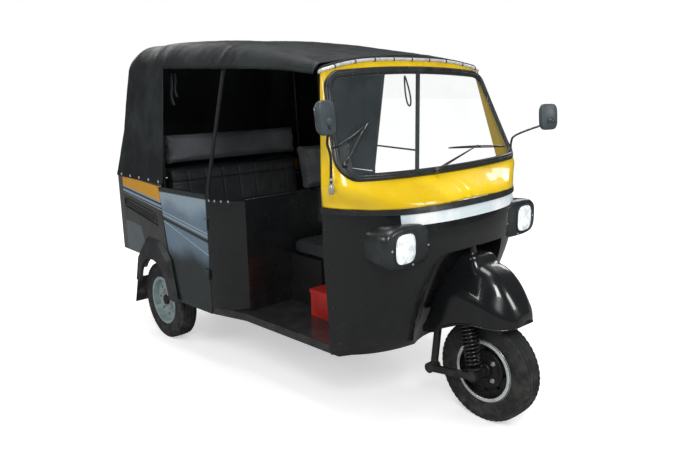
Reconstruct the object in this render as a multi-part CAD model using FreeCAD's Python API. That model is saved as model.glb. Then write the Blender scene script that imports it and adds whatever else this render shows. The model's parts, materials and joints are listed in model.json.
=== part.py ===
import FreeCAD, Part
import math
import os

# Three-wheeled passenger auto rickshaw, in millimetres.
# X points forward, Y to the vehicle's left, Z up.
# The origin is on the ground, under the middle of the whole object.

# Driving dimensions
overall_length = 3005.0
wheelbase = 2190.0
front_width = 1340.0
rear_width = 1484.0
flank_taper = 42.0
middle_width = rear_width - 2 * flank_taper
floor_height = 380.0
seam_height = 1130.0
waist_height = 1077.0
windscreen_base_height = 1270.0
roof_height = 2010.0

# Sheet, gaps and runs shared by the pieces
sheet_thickness = 3.0
door_thickness = 24.0
fit_gap = 0.3
door_gap = 6.0
running_gap = 1.0
overrun = 60.0
full_turn = 360.0
corner_room_share = 0.49
closing_gap = fit_gap / 100

# Wheels
tyre_diameter = 530.0
tyre_width = 124.0
tread_width = 106.0
tread_crown = 3.0
rim_diameter = 330.0
bead_diameter = 304.0
bead_width = 100.0
flange_thickness = 6.0
rim_wall = 6.0
disc_thickness = 7.0
disc_dish = 22.0
track_inset = 97.0
rear_track = rear_width - 2 * track_inset
hub_diameter = 96.0
stub_diameter = 30.0
vent_diameter = 24.0
vent_count = 8
stud_circle = 130.0
stud_diameter = 15.0
stud_length = 14.0
stud_count = 4

# Steering axis: it leans back at the top and passes ahead of the axle
steering_rake = 16.0
axis_lead = 50.0

# Lower front shell: depth from its rear edge to the fullest point of the nose
shell_setback = 520.0
bow_depth = 420.0
shell_bottom = 350.0
shell_wall = 4.0
well_drop = 245.0
well_top_height = seam_height - well_drop
well_top_radius = 255.0
well_foot_radius = 447.0
# Each row: height between the shell's foot and the seam, rear edge, nose and shoulder
# along the bow's depth, half width and shoulder width as shares of the seam's half width
bow_section_shares = [
    (0.000, -0.050, 0.450, 0.286, 0.895, 0.636),
    (0.190, -0.020, 0.667, 0.430, 0.925, 0.667),
    (0.450, 0.000, 0.870, 0.595, 0.955, 0.705),
    (0.700, 0.020, 1.000, 0.700, 0.985, 0.740),
    (0.850, 0.035, 1.000, 0.705, 0.993, 0.752),
    (1.000, 0.048, 0.905, 0.672, 1.000, 0.757),
]

# Upper front: belt panel, windscreen frame and header
cowl_wall = 20.0
cowl_tail = 25.0
# The top edge's plan: shares of its depth from the rear, and of its half width
cowl_head_shares = [(0.0, 1.0), (0.55, 0.994), (0.84, 0.945), (0.97, 0.78)]
glass_setback = 335.0
windscreen_rake = 24.0
header_crown_share = 0.9009
screen_foot_width = 1250.0
screen_head_width = 1115.0
screen_corner_radius = 95.0
frame_foot_width = 1330.0
frame_head_width = 1236.0
frame_thickness = 38.0
frame_head_depth = 20.0
pillar_foot_return = 190.0
pillar_head_return = 16.0
pillar_wall = 14.0
seal_width = 34.0
seal_thickness = 22.0
seal_proud = 9.0
glass_thickness = 5.0
header_rise = 84.0
header_width = 1262.0
header_thickness = 46.0
ear_rise = 5.0
roof_bead_width = 16.0
roof_bead_depth = 12.0
dash_depth = 120.0
dash_roll = 24.0
moulding_height = 27.0
moulding_depth = 9.0
strip_height = 54.0
strip_half_width = 452.0
strip_thickness = 3.0

# Headlamps
lamp_spacing = 968.0
lamp_drop = 183.0
lamp_face_setback = 142.0
lamp_face_width = 206.0
lamp_face_height = 184.0
lamp_face_radius = 34.0
lamp_body_depth = 185.0
lamp_flare = 16.0
lens_width = 122.0
lens_height = 132.0
lens_radius = 34.0
lens_depth = 12.0

# Floor and partition
sill_lip = 45.0
tread_plate_width = 1200.0
tread_plate_margin = 22.0
floor_nose_setback = 440.0
floor_nose_width = 800.0
floor_front_width = 1130.0
floor_sill_width = 1236.0
riser_setback = 1850.0
partition_setback = 1310.0
partition_width = 1140.0
partition_height = 1048.0
partition_wall = 24.0
partition_flank_share = 0.62
pillar_setback = 1530.0
partition_rail_radius = 13.0

# Doors and rear body
door_rear_top_setback = 2050.0
door_rear_foot_setback = 1930.0
door_foot_height = 335.0
hinge_radius = 9.0
hinge_length = 62.0
hinge_height_shares = (0.30, 0.72)
quarter_top_height = 1104.0
quarter_foot_height = 566.0
tail_corner_radius = 55.0
tail_split_setback = 2600.0
tail_setback = 2716.0
deck_height = 672.0
deck_thickness = 16.0
lid_width = 980.0
lid_foot_height = 600.0
lid_height = 430.0
lid_radius = 40.0
lid_thickness = 18.0
lid_hinge_spacing = 600.0
trough_depth = 9.0
trough_height = 62.0
trough_rear_height = 914.0
trough_front_height = 840.0

# Wheel arch flare, in the side view about the rear axle
arch_proud = 24.0
arch_bevel = 26.0
arch_inner_half = 198.0
arch_inner_rise = 306.0
arch_leg_width = 52.0
arch_band = 146.0
arch_foot_height = 336.0
arch_round = 62.0
# Each row: place of an outline corner from the middle, as shares of the outer half width
# and of the height between foot and crown
arch_corner_shares = [
    (1.22, 0.00), (0.97, 0.72), (0.52, 1.00), (-0.30, 1.00), (-0.93, 0.60), (-1.19, 0.11),
]
flap_height = 200.0
flap_width = 150.0
flap_thickness = 6.0
flap_slant = 70.0

# Seats
bench_setback = 1865.0
bench_depth = 430.0
bench_width = 1120.0
bench_thickness = 120.0
backrest_thickness = 85.0
headrest_height = 235.0
headrest_foot_height = 1168.0
cushion_radius = 30.0
driver_seat_width = 500.0
driver_seat_depth = 290.0
driver_cushion_lip = 70.0
driver_seat_base_height = 300.0
driver_cushion_thickness = 90.0
driver_backrest_width = 420.0
driver_backrest_height = 290.0
driver_backrest_thickness = 75.0
backrest_offset = 66.0
bracket_width = 32.0
bracket_thickness = 8.0

# Canopy
canopy_thickness = 6.0
canopy_front_setback = 583.0
canopy_pod_setback = 1965.0
canopy_hem_height = 1095.0
canopy_ease = 3.0
canopy_skirt_gap = 0.6
canopy_shoulder_radius = 135.0
canopy_crown_radius = 2500.0
canopy_corner_radius = 95.0
canopy_rear_shoulder_height = 1830.0
canopy_rear_shoulder_setback = 2570.0
canopy_rear_crown_setback = 2440.0
# Each row: distance from the front edge to the tail, half width as a share of the rear's,
# foot, shoulder and crown as shares of the roof's height
canopy_section_shares = [
    (0.000, 0.848, 0.8680, 0.8905, 0.9154),
    (0.102, 0.862, 0.8806, 0.9204, 0.9330),
    (0.200, 0.874, 0.8866, 0.9380, 0.9510),
    (0.420, 0.892, 0.8940, 0.9627, 0.9810),
    (0.660, 0.912, 0.9015, 0.9740, 0.9980),
    (1.000, 0.905, 0.9015, 0.9750, 1.0000),
]

# Canopy frame
hoop_radius = 11.0
post_hoop_setback = 1342.0
hoop_bend_share = 0.55
curtain_foot_setback = 1534.6
curtain_head_setback = 1376.6
guard_post_setback = 1012.0
guard_post_radius = 14.0
guard_post_half = 586.0
guard_bar_height = 1270.0
guard_bar_radius = 6.0

# Chassis
rail_height = 60.0
rail_width = 42.0
rail_spacing = 560.0
rail_front_setback = 560.0
rail_rear_setback = 2660.0
head_tube_radius = 34.0
column_radius = 22.0
engine_length = 340.0
engine_width = 420.0
engine_height = 270.0
engine_clearance = 215.0
arm_pivot_setback = 1940.0
arm_bush_radius = 26.0
spring_leg_inset = 59.0
spring_leg_radius = 34.0
cross_member_shares = (0.08, 0.5, 0.92)
crown_drop = 156.0

# Exhaust
silencer_radius = 43.0
silencer_ends = (20.0, 336.0)
exhaust_pipe_side = 105.0
outlet_length = 63.0

# Front suspension
fork_side = 107.0
fork_radius = 20.0
pivot_setback = 272.0
pivot_height = 222.0
pivot_radius = 28.0
link_thickness = 22.0
spring_radius = 38.0
spring_wire = 9.0
spring_turns = 9
spring_cup_lip = 3.0
link_depth_share = 0.8
spring_foot_setback = 10.0
spring_head_setback = 82.0

# Handlebar
handlebar_height = 1062.0
handlebar_half_width = 330.0
grip_radius = 16.0
grip_length = 120.0
grip_start_share = 0.1
grip_setback = 500.0
bar_radius = 11.0

# Mudguard
fender_length = 530.0
fender_nose_lead = 200.0
fender_half_width = 158.0
fender_height = 380.0
fender_foot_height = 440.0
fender_top_share = 0.55
# Each row: place from the tail to the nose of the mudguard, half width, foot, shoulder and top
fender_section_shares = [
    (0.00, 0.98, 0.000, 0.566, 0.842),
    (0.25, 1.00, 0.074, 0.610, 0.947),
    (0.45, 1.00, 0.210, 0.597, 0.995),
    (0.62, 1.00, 0.255, 0.558, 0.987),
    (0.76, 0.97, 0.263, 0.513, 0.889),
    (0.87, 0.86, 0.263, 0.460, 0.724),
    (0.95, 0.66, 0.276, 0.408, 0.553),
    (1.00, 0.34, 0.303, 0.355, 0.395),
]
# The mudguard's rear edge: setback and height, as shares of its length and its height
fender_rear_shares = [
    (0.665, -0.170), (0.613, 0.000), (0.481, 0.421), (0.387, 0.684), (0.349, 0.816), (0.330, 0.947),
    (0.311, 1.132),
]
fender_neck_foot_height = 740.0
fender_neck_head_height = 860.0
fender_neck_foot_setbacks = (0.0, 200.0)
fender_neck_head_setbacks = (38.0, 164.0)
fender_neck_foot_half = 115.0
fender_neck_head_half = 86.0
fender_neck_radius = 28.0

# Mirrors
mirror_width = 80.0
mirror_head_height = 147.0
mirror_depth = 42.0
mirror_half_span = 850.0
mirror_centre_height = 1540.0
mirror_setback = 169.0
mirror_rod_radius = 6.0
mirror_rod_tip = 20.0
mirror_foot_setback = 452.0
mirror_knee_setback = 440.0
mirror_foot_height = 1212.0
mirror_knee_height = 1385.0
mirror_foot_half = 668.0
mirror_clamp_radius = 10.0
mirror_clamp_length = 26.0
mirror_back_share = 0.85

# Battery box
battery_length = 200.0
battery_width = 170.0
battery_height = 160.0
battery_setback = 800.0
battery_side = 350.0

# Tail lamps
tail_lamp_width = 90.0
tail_lamp_height = 150.0
tail_lamp_depth = 22.0

# Wipers: places on the windscreen plane, across to the left and up its slope from its foot
wiper_radius = 5.0
spindle_radius = 10.0
middle_spindle = (-66.0, -20.0)
middle_blade_ends = ((70.0, 104.0), (473.0, 68.0))
side_spindle = (-636.0, 66.0)
side_blade_ends = ((-690.0, 172.0), (-475.0, 263.0))

# Places worked out from the driving dimensions
tyre_radius = tyre_diameter / 2
front_axle_x = overall_length / 2 - tyre_radius
rear_axle_x = front_axle_x - wheelbase
axle_height = tyre_radius
rake_tangent = math.tan(math.radians(steering_rake))
header_span = roof_height * header_crown_share - windscreen_base_height
screen_opening_height = header_span / math.cos(math.radians(windscreen_rake)) - frame_head_depth - header_rise


def behind(setback):
    """X of a place this far behind the front axle."""
    return front_axle_x - setback


def vec(x, y, z):
    return FreeCAD.Vector(x, y, z)


def axis_x(height):
    """X of the steering axis at a height."""
    return front_axle_x + axis_lead - (height - axle_height) * rake_tangent


def block(x0, x1, y0, y1, z0, z1):
    return Part.makeBox(x1 - x0, y1 - y0, z1 - z0, vec(x0, y0, z0))


def polygon(points):
    return Part.makePolygon(points + [points[0]])


def corner_arc(before, corner, after, radius):
    """Ends and middle of the arc that rounds a corner, using at most half of each side."""
    back = before - corner
    ahead = after - corner
    room = min(back.Length, ahead.Length) * corner_room_share
    back.normalize()
    ahead.normalize()
    half = back.getAngle(ahead) / 2
    reach = min(radius / math.tan(half), room)
    used = reach * math.tan(half)
    middle = back + ahead
    middle.normalize()
    return (corner + back * reach,
            corner + middle * (used / math.sin(half) - used),
            corner + ahead * reach)


def rounded(points, radii):
    """Closed wire through the corner points, each rounded by its radius."""
    count = len(points)
    if not isinstance(radii, (list, tuple)):
        radii = [radii] * count
    arcs = []
    for i, point in enumerate(points):
        following = (i + 1) % count
        before = points[i - 1]
        after = points[following]
        if not radii[i]:
            arcs.append((point, point, point))
            continue
        # Beside a square corner the whole side is there for the arc
        if not radii[i - 1]:
            before = before * 2 - point
        if not radii[following]:
            after = after * 2 - point
        arcs.append(corner_arc(before, point, after, radii[i]))
    edges = []
    for i, arc in enumerate(arcs):
        if radii[i]:
            edges.append(Part.Arc(*arc).toShape())
        start = arc[2]
        end = arcs[(i + 1) % count][0]
        if start.distanceToPoint(end) > closing_gap:
            edges.append(Part.LineSegment(start, end).toShape())
    return Part.Wire(edges)


def prism(outline, run):
    return Part.Face(outline).extrude(run)


def rod(start, end, radius):
    run = end - start
    return Part.makeCylinder(radius, run.Length, start, run)


def bent_rod(points, radius, bend):
    """Round bar along straight runs joined by tangent arcs."""
    edges = []
    last = points[0]
    for before, corner, after in zip(points, points[1:], points[2:]):
        start, middle, end = corner_arc(before, corner, after, bend)
        edges.append(Part.LineSegment(last, start).toShape())
        edges.append(Part.Arc(start, middle, end).toShape())
        last = end
    edges.append(Part.LineSegment(last, points[-1]).toShape())
    path = Part.Wire(edges)
    section = Part.Wire(Part.makeCircle(radius, points[0], points[1] - points[0]))
    return path.makePipeShell([section], True, False)


def revolved(points, centre, axis):
    """Ring turned from a closed outline."""
    return Part.Face(polygon(points)).revolve(centre, axis, full_turn)


def join(first, *others):
    shape = first
    for other in others:
        shape = shape.fuse(other)
    return shape.removeSplitter()


def mirrored(shape):
    return shape.mirror(vec(0, 0, 0), vec(0, 1, 0))


def pair(shape):
    """The piece and its twin across the middle plane, as two solids."""
    return Part.makeCompound([shape, mirrored(shape)])


def along_steering(shape):
    """Stands a shape built on the Z axis along the steering axis, from axle height."""
    placed = shape.copy()
    placed.rotate(vec(0, 0, 0), vec(0, 1, 0), -steering_rake)
    placed.translate(vec(front_axle_x + axis_lead, 0, axle_height))
    return placed


def on_axis(height):
    return vec(axis_x(height), 0, height)


def along_axis(height):
    """Distance up the steering axis from axle height to a height."""
    return (height - axle_height) / math.cos(math.radians(steering_rake))


# Wheels

def tyre(centre_x, centre_y):
    half = tyre_width / 2
    tread = tread_width / 2
    bead = bead_width / 2
    bead_radius = bead_diameter / 2
    flange_radius = rim_diameter / 2
    shoulder = tyre_radius - tread_crown
    belly = (tyre_radius + bead_radius) / 2
    base = vec(centre_x, centre_y, axle_height)

    def at(y, radius):
        return base + vec(0, y, radius)

    edges = [
        Part.LineSegment(at(bead, bead_radius), at(bead, flange_radius)).toShape(),
        Part.Arc(at(bead, flange_radius), at(half, belly), at(tread, shoulder)).toShape(),
        Part.Arc(at(tread, shoulder), at(0, tyre_radius), at(-tread, shoulder)).toShape(),
        Part.Arc(at(-tread, shoulder), at(-half, belly), at(-bead, flange_radius)).toShape(),
        Part.LineSegment(at(-bead, flange_radius), at(-bead, bead_radius)).toShape(),
        Part.LineSegment(at(-bead, bead_radius), at(bead, bead_radius)).toShape(),
    ]
    return Part.Face(Part.Wire(edges)).revolve(base, vec(0, 1, 0), full_turn)


def rim(centre_x, centre_y, side):
    """Wheel rim with a dished, vented disc; side is the outer face's direction along Y."""
    bead = bead_width / 2 + fit_gap
    seat = bead_diameter / 2 - fit_gap
    inside = seat - rim_wall
    flange = rim_diameter / 2
    face = disc_dish
    hub = hub_diameter / 2
    base = vec(centre_x, centre_y, axle_height)

    def at(y, radius):
        return base + vec(0, y * side, radius)

    outline = [
        at(bead + flange_thickness, flange), at(bead, flange), at(bead, seat),
        at(-bead, seat), at(-bead, flange), at(-bead - flange_thickness, flange),
        at(-bead - flange_thickness, inside), at(face - disc_thickness, inside),
        at(face - disc_thickness, hub), at(-face, hub), at(-face, stub_diameter / 2 + running_gap),
        at(face + disc_thickness, stub_diameter / 2 + running_gap),
        at(face + disc_thickness, hub), at(face, hub + disc_thickness),
        at(face, inside), at(bead + flange_thickness, inside),
    ]
    shape = revolved(outline, base, vec(0, 1, 0))
    vent_radius = (inside + stud_circle / 2) / 2
    for i in range(vent_count):
        turn = 2 * math.pi * i / vent_count
        spot = base + vec(vent_radius * math.cos(turn), 0, vent_radius * math.sin(turn))
        drill = Part.makeCylinder(vent_diameter / 2, 2 * overrun, spot - vec(0, overrun, 0), vec(0, 1, 0))
        shape = shape.cut(drill)
    for i in range(stud_count):
        turn = 2 * math.pi * i / stud_count + math.pi / stud_count
        reach = stud_circle / 2
        spot = at((face + disc_thickness) / 2, 0) + vec(reach * math.cos(turn), 0, reach * math.sin(turn))
        shape = shape.fuse(Part.makeCylinder(stud_diameter / 2, stud_length, spot, vec(0, side, 0)))
    return shape


# Lower front shell

def bow_points(height, share_row, inset):
    """Plan of the bow at a height: rear corner, shoulder, nose, moved in by the inset."""
    rear_share, nose_share, shoulder_share, width_share, shoulder_width_share = share_row[1:]
    rear_x = behind(shell_setback) + bow_depth * rear_share
    nose_x = behind(shell_setback) + bow_depth * nose_share
    shoulder_x = behind(shell_setback) + bow_depth * shoulder_share
    half = front_width / 2
    slant = inset * math.sin(math.radians(full_turn / 8))
    return [vec(rear_x, -(half * width_share - inset), height),
            vec(shoulder_x - slant, -(half * shoulder_width_share - slant), height),
            vec(nose_x - inset, 0, height),
            vec(shoulder_x - slant, half * shoulder_width_share - slant, height),
            vec(rear_x, half * width_share - inset, height)]


def bow_curve(points):
    curve = Part.BSplineCurve()
    curve.interpolate(points)
    return curve.toShape()


def bow_row(height):
    """Share row of the bow at any height from the foot to the seam."""
    share = (height - shell_bottom) / (seam_height - shell_bottom)
    rows = bow_section_shares
    for low, high in zip(rows, rows[1:]):
        if share <= high[0]:
            part = (share - low[0]) / (high[0] - low[0])
            return [a + (b - a) * part for a, b in zip(low, high)]
    return list(rows[-1])


def bow_fill(inset, low, high, rear_run):
    """Solid bounded by the bow's face, between two heights, closed at the rear."""
    span = seam_height - shell_bottom
    heights = [shell_bottom + row[0] * span for row in bow_section_shares]
    sections = []
    for height, row in zip(heights, bow_section_shares):
        points = bow_points(height, row, inset)
        sections.append(closed_plan(points, vec(rear_run, 0, 0)))
    solid = Part.makeLoft(sections, True, False)
    cutter = block(behind(2 * shell_setback), front_axle_x, -front_width, front_width, low, high)
    return solid.common(cutter)


def bow_band(outset_low, outset_high, low, high):
    """Thin band that follows the bow's face between two heights."""
    outer = bow_fill(-outset_high, low, high, 0)
    inner = bow_fill(-outset_low, low - overrun, high + overrun, overrun)
    return outer.cut(inner)


def wheel_well(outset, top_outset):
    """Cone of free room about the steering axis, for the turning wheel and mudguard."""
    foot = along_axis(shell_bottom) - overrun
    top = along_axis(well_top_height) + top_outset
    slope = (well_foot_radius - well_top_radius) / (along_axis(well_top_height) - foot)
    foot_radius = well_foot_radius + outset
    top_radius = well_foot_radius - slope * (top - foot) + outset
    cone = Part.makeCone(foot_radius, top_radius, top - foot, vec(0, 0, foot))
    return along_steering(cone)


def front_shell():
    low = shell_bottom
    high = seam_height - moulding_depth
    solid = bow_fill(0, low, high, 0)
    hollow = bow_fill(shell_wall, low - overrun, high + overrun, overrun)
    skin = solid.cut(hollow)
    skin = skin.cut(wheel_well(0, 0))
    liner = wheel_well(shell_wall, shell_wall).cut(wheel_well(0, 0))
    liner = liner.common(solid)
    shape = skin.fuse(liner)
    neck = along_steering(Part.makeCylinder(head_tube_radius + fit_gap, roof_height))
    return shape.cut(neck)


def belt_moulding():
    low = seam_height - moulding_height
    return bow_band(fit_gap, moulding_depth, low, seam_height)


def reflective_strip():
    high = seam_height - moulding_height - fit_gap
    band = bow_band(fit_gap, strip_thickness + fit_gap, high - strip_height, high)
    keep = block(behind(shell_setback), front_axle_x, -strip_half_width, strip_half_width,
                 shell_bottom, seam_height)
    return band.common(keep)


# Upper front

def screen_point(across, up, out):
    """Place on the windscreen plane: across along Y, up along its slope, out along its normal."""
    lean = math.radians(windscreen_rake)
    x = behind(glass_setback) - up * math.sin(lean) + out * math.cos(lean)
    z = windscreen_base_height + up * math.cos(lean) + out * math.sin(lean)
    return vec(x, across, z)


def screen_normal(length):
    lean = math.radians(windscreen_rake)
    return vec(length * math.cos(lean), 0, length * math.sin(lean))


def screen_outline(inset, out):
    """Rounded outline of the windscreen opening, moved in by the inset."""
    foot = screen_foot_width / 2 - inset
    head = screen_head_width / 2 - inset
    low = inset
    high = screen_opening_height - inset
    corners = [screen_point(-foot, low, out), screen_point(foot, low, out),
               screen_point(head, high, out), screen_point(-head, high, out)]
    return rounded(corners, screen_corner_radius - inset)


def screen_ring(outer_inset, inner_inset, out, thickness):
    outer = prism(screen_outline(outer_inset, out), screen_normal(thickness))
    inner = prism(screen_outline(inner_inset, out - overrun), screen_normal(thickness + 2 * overrun))
    return outer.cut(inner)


def closed_plan(points, back):
    """Plan through the points, closed behind them, its rear moved back by a run."""
    rear_right = points[0] - back
    rear_left = points[-1] - back
    edges = [bow_curve(points)]
    if back.Length:
        edges.append(Part.LineSegment(points[-1], rear_left).toShape())
    edges.append(Part.LineSegment(rear_left, rear_right).toShape())
    if back.Length:
        edges.append(Part.LineSegment(rear_right, points[0]).toShape())
    return Part.Wire(edges)


def cowl_head(inset):
    """Plan of the belt panel's top edge: straight below the windscreen, tight at its corners."""
    glass_x = behind(glass_setback) + frame_thickness - inset
    rear_x = behind(shell_setback) + bow_depth * bow_section_shares[-1][1]
    half = frame_foot_width / 2 - inset
    depth = glass_x - rear_x
    side = [(rear_x + depth * along, half * across) for along, across in cowl_head_shares]
    right = [vec(x, -y, windscreen_base_height) for x, y in side]
    left = [vec(x, y, windscreen_base_height) for x, y in reversed(side)]
    return right + [vec(glass_x, 0, windscreen_base_height)] + left


def cowl_fill(inset, back_run):
    """Solid between the seam and the windscreen's foot, a loft of two plans."""
    foot = bow_points(seam_height, bow_row(seam_height), inset)
    back = vec(back_run, 0, 0)
    return Part.makeLoft([closed_plan(foot, back), closed_plan(cowl_head(inset), back)], True, True)


def front_cowl():
    belt = cowl_fill(0, cowl_tail).cut(cowl_fill(cowl_wall, overrun))
    foot = frame_foot_width / 2
    head = frame_head_width / 2
    high = screen_opening_height + frame_head_depth
    sunk = -cowl_wall
    corners = [screen_point(-foot, sunk, 0), screen_point(foot, sunk, 0),
               screen_point(head, high, 0), screen_point(-head, high, 0)]
    frame = prism(polygon(corners), screen_normal(frame_thickness))
    opening = prism(screen_outline(-fit_gap, -overrun), screen_normal(2 * overrun + frame_thickness))
    frame = frame.cut(opening)
    outer_foot = screen_point(-foot, 0, 0)
    outer_head = screen_point(-head, high, 0)
    foot_back = vec(-pillar_foot_return, 0, 0)
    head_back = vec(-pillar_head_return, 0, 0)
    side = Part.Face(polygon([outer_foot, outer_foot + foot_back, outer_head + head_back, outer_head]))
    pillar = side.extrude(vec(0, pillar_wall, 0))
    return join(belt, frame, pillar, mirrored(pillar))


def roof_visor():
    """Arched header above the windscreen."""
    base = screen_opening_height + frame_head_depth + fit_gap
    half = header_width / 2
    left = screen_point(half, base, 0)
    right = screen_point(-half, base, 0)
    left_ear = screen_point(half, base + ear_rise, 0)
    right_ear = screen_point(-half, base + ear_rise, 0)
    crown = screen_point(0, base + header_rise, 0)
    edges = [Part.LineSegment(right, left).toShape(), Part.LineSegment(left, left_ear).toShape(),
             Part.Arc(left_ear, crown, right_ear).toShape(),
             Part.LineSegment(right_ear, right).toShape()]
    return prism(Part.Wire(edges), screen_normal(header_thickness))


def roof_bead():
    """Bright bead along the header's arched top edge."""
    base = screen_opening_height + frame_head_depth + 2 * fit_gap
    half = header_width / 2
    out = header_thickness - roof_bead_depth

    def arch(rise):
        return [screen_point(half, base + ear_rise + rise, out),
                screen_point(0, base + header_rise + rise, out),
                screen_point(-half, base + ear_rise + rise, out)]

    low = arch(0)
    high = arch(roof_bead_width)
    edges = [Part.Arc(*low).toShape(), Part.LineSegment(low[2], high[2]).toShape(),
             Part.Arc(*high[::-1]).toShape(), Part.LineSegment(high[0], low[0]).toShape()]
    return prism(Part.Wire(edges), screen_normal(roof_bead_depth))


def windscreen_seal():
    return screen_ring(0, seal_width, frame_thickness - seal_thickness + seal_proud, seal_thickness)


def windscreen_glass():
    out = frame_thickness - seal_thickness + seal_proud
    out += (seal_thickness - glass_thickness) / 2
    return prism(screen_outline(seal_width + fit_gap, out), screen_normal(glass_thickness))


def dashboard():
    """Shelf below the windscreen, fitted into the belt panel, clear of the handlebar's sweep."""
    top = windscreen_base_height - cowl_wall - fit_gap
    low = seam_height + moulding_height
    front = behind(glass_setback) + frame_thickness
    rear = behind(glass_setback) - dash_depth
    half = screen_foot_width / 2
    corners = [vec(front, -half, top), vec(rear, -half, top), vec(rear - dash_roll, -half, (top + low) / 2),
               vec(rear + dash_roll, -half, low), vec(front, -half, low)]
    body = prism(rounded(corners, [0, dash_roll / 2, dash_roll / 2, dash_roll / 2, 0]), vec(0, 2 * half, 0))
    return body.common(cowl_fill(cowl_wall + 2 * fit_gap, overrun))


# Headlamps

def rounded_rectangle(x, centre_y, centre_z, width, height, radius):
    corners = [vec(x, centre_y - width / 2, centre_z - height / 2),
               vec(x, centre_y + width / 2, centre_z - height / 2),
               vec(x, centre_y + width / 2, centre_z + height / 2),
               vec(x, centre_y - width / 2, centre_z + height / 2)]
    return rounded(corners, radius)


def lamp_height():
    return seam_height - lamp_drop


def headlamp_housing():
    """Rounded pod that grows out of the shell, with a pocket for the lens."""
    y = lamp_spacing / 2
    z = lamp_height()
    face_x = behind(lamp_face_setback)
    front = rounded_rectangle(face_x, y, z, lamp_face_width, lamp_face_height,
                              lamp_face_radius)
    lip = rounded_rectangle(face_x - lamp_flare, y, z, lamp_face_width + lamp_flare,
                            lamp_face_height + lamp_flare, lamp_face_radius)
    rear = rounded_rectangle(face_x - lamp_body_depth, y + lamp_flare, z,
                             lamp_face_width + 2 * lamp_flare, lamp_face_height + lamp_flare,
                             lamp_face_radius)
    pod = Part.makeLoft([front, lip, rear], True, True)
    pod = pod.cut(bow_fill(-fit_gap, shell_bottom, seam_height, 0))
    pocket = rounded_rectangle(face_x + overrun, y, z, lens_width, lens_height, lens_radius)
    pod = pod.cut(prism(pocket, vec(-overrun - lens_depth, 0, 0)))
    return pod


def headlamp_lens():
    y = lamp_spacing / 2
    x = behind(lamp_face_setback) - lens_depth + fit_gap
    outline = rounded_rectangle(x, y, lamp_height(), lens_width - 2 * fit_gap,
                                lens_height - 2 * fit_gap, lens_radius)
    return prism(outline, vec(lens_depth, 0, 0))


# Floor, partition and doors

def floor_outline(height, inset):
    half_nose = floor_nose_width / 2 - inset
    half_front = floor_front_width / 2 - inset
    half_sill = floor_sill_width / 2 - inset
    half_post = middle_width / 2 - door_gap - inset
    half_door = middle_width / 2 - door_thickness - door_gap - inset
    half_rear = half_door + (rear_width - middle_width) / 5
    corner_x = behind(partition_setback) + partition_wall
    side = [(behind(floor_nose_setback) - inset, half_nose),
            (behind(shell_setback) - inset, half_front),
            (corner_x, half_sill),
            (behind(pillar_setback), half_post),
            (behind(pillar_setback) - door_gap, half_door),
            (behind(riser_setback) - (overrun if inset else 0), half_rear)]
    right = [vec(x, -y, height) for x, y in side]
    left = [vec(x, y, height) for x, y in reversed(side)]
    return polygon(right + left)


def floor_pan():
    """Floor with a lip turned down all round as its sills, and a tread plate for the passengers."""
    top = prism(floor_outline(floor_height - sill_lip, 0), vec(0, 0, sill_lip))
    under = prism(floor_outline(floor_height - sill_lip - overrun, sheet_thickness),
                  vec(0, 0, sill_lip + overrun - sheet_thickness))
    rear = behind(riser_setback) + tread_plate_margin
    front = behind(pillar_setback) - tread_plate_margin
    half = tread_plate_width / 2
    plate = block(rear, front, -half, half, floor_height, floor_height + sheet_thickness)
    return join(top.cut(under), plate)


def partition():
    """Wall behind the driver, curving back on both sides to the door posts."""
    rear = behind(pillar_setback) + fit_gap
    middle = behind(partition_setback)
    outer_half = middle_width / 2
    inner_half = partition_width / 2
    wall = partition_wall

    def path(inset):
        post = vec(rear, -(outer_half - inset), floor_height)
        flank_half = inner_half + (outer_half - inner_half) * partition_flank_share
        flank = vec((rear + middle) / 2 + wall / 2 - inset / 2, -(flank_half - inset / 2), floor_height)
        corner = vec(middle - inset, -(inner_half - inset / 2), floor_height)
        return post, flank, corner

    def flip(point):
        return vec(point.x, -point.y, point.z)

    outer = path(0)
    inner = path(wall)
    edges = [Part.Arc(*outer).toShape(),
             Part.LineSegment(outer[2], flip(outer[2])).toShape(),
             Part.Arc(flip(outer[2]), flip(outer[1]), flip(outer[0])).toShape(),
             Part.LineSegment(flip(outer[0]), flip(inner[0])).toShape(),
             Part.Arc(flip(inner[0]), flip(inner[1]), flip(inner[2])).toShape(),
             Part.LineSegment(flip(inner[2]), inner[2]).toShape(),
             Part.Arc(inner[2], inner[1], inner[0]).toShape(),
             Part.LineSegment(inner[0], outer[0]).toShape()]
    wall_solid = prism(Part.Wire(edges), vec(0, 0, partition_height - floor_height))
    low = backrest_foot_height() - fit_gap
    for y in (-driver_backrest_width / 4, driver_backrest_width / 4):
        bracket = block(middle - wall, middle + backrest_offset + driver_backrest_thickness / 2,
                        y - bracket_width / 2, y + bracket_width / 2, low - bracket_thickness, low)
        wall_solid = wall_solid.fuse(bracket)
    top = partition_height + partition_rail_radius / 2
    x = middle - wall / 2
    rail = rod(vec(x, -inner_half, top), vec(x, inner_half, top), partition_rail_radius)
    return join(wall_solid, rail)


def flank_y(setback):
    """Half width of the door's outer face at a setback."""
    share = (setback - pillar_setback) / (door_rear_top_setback - pillar_setback)
    return middle_width / 2 + share * (rear_width - middle_width) / 2


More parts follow.
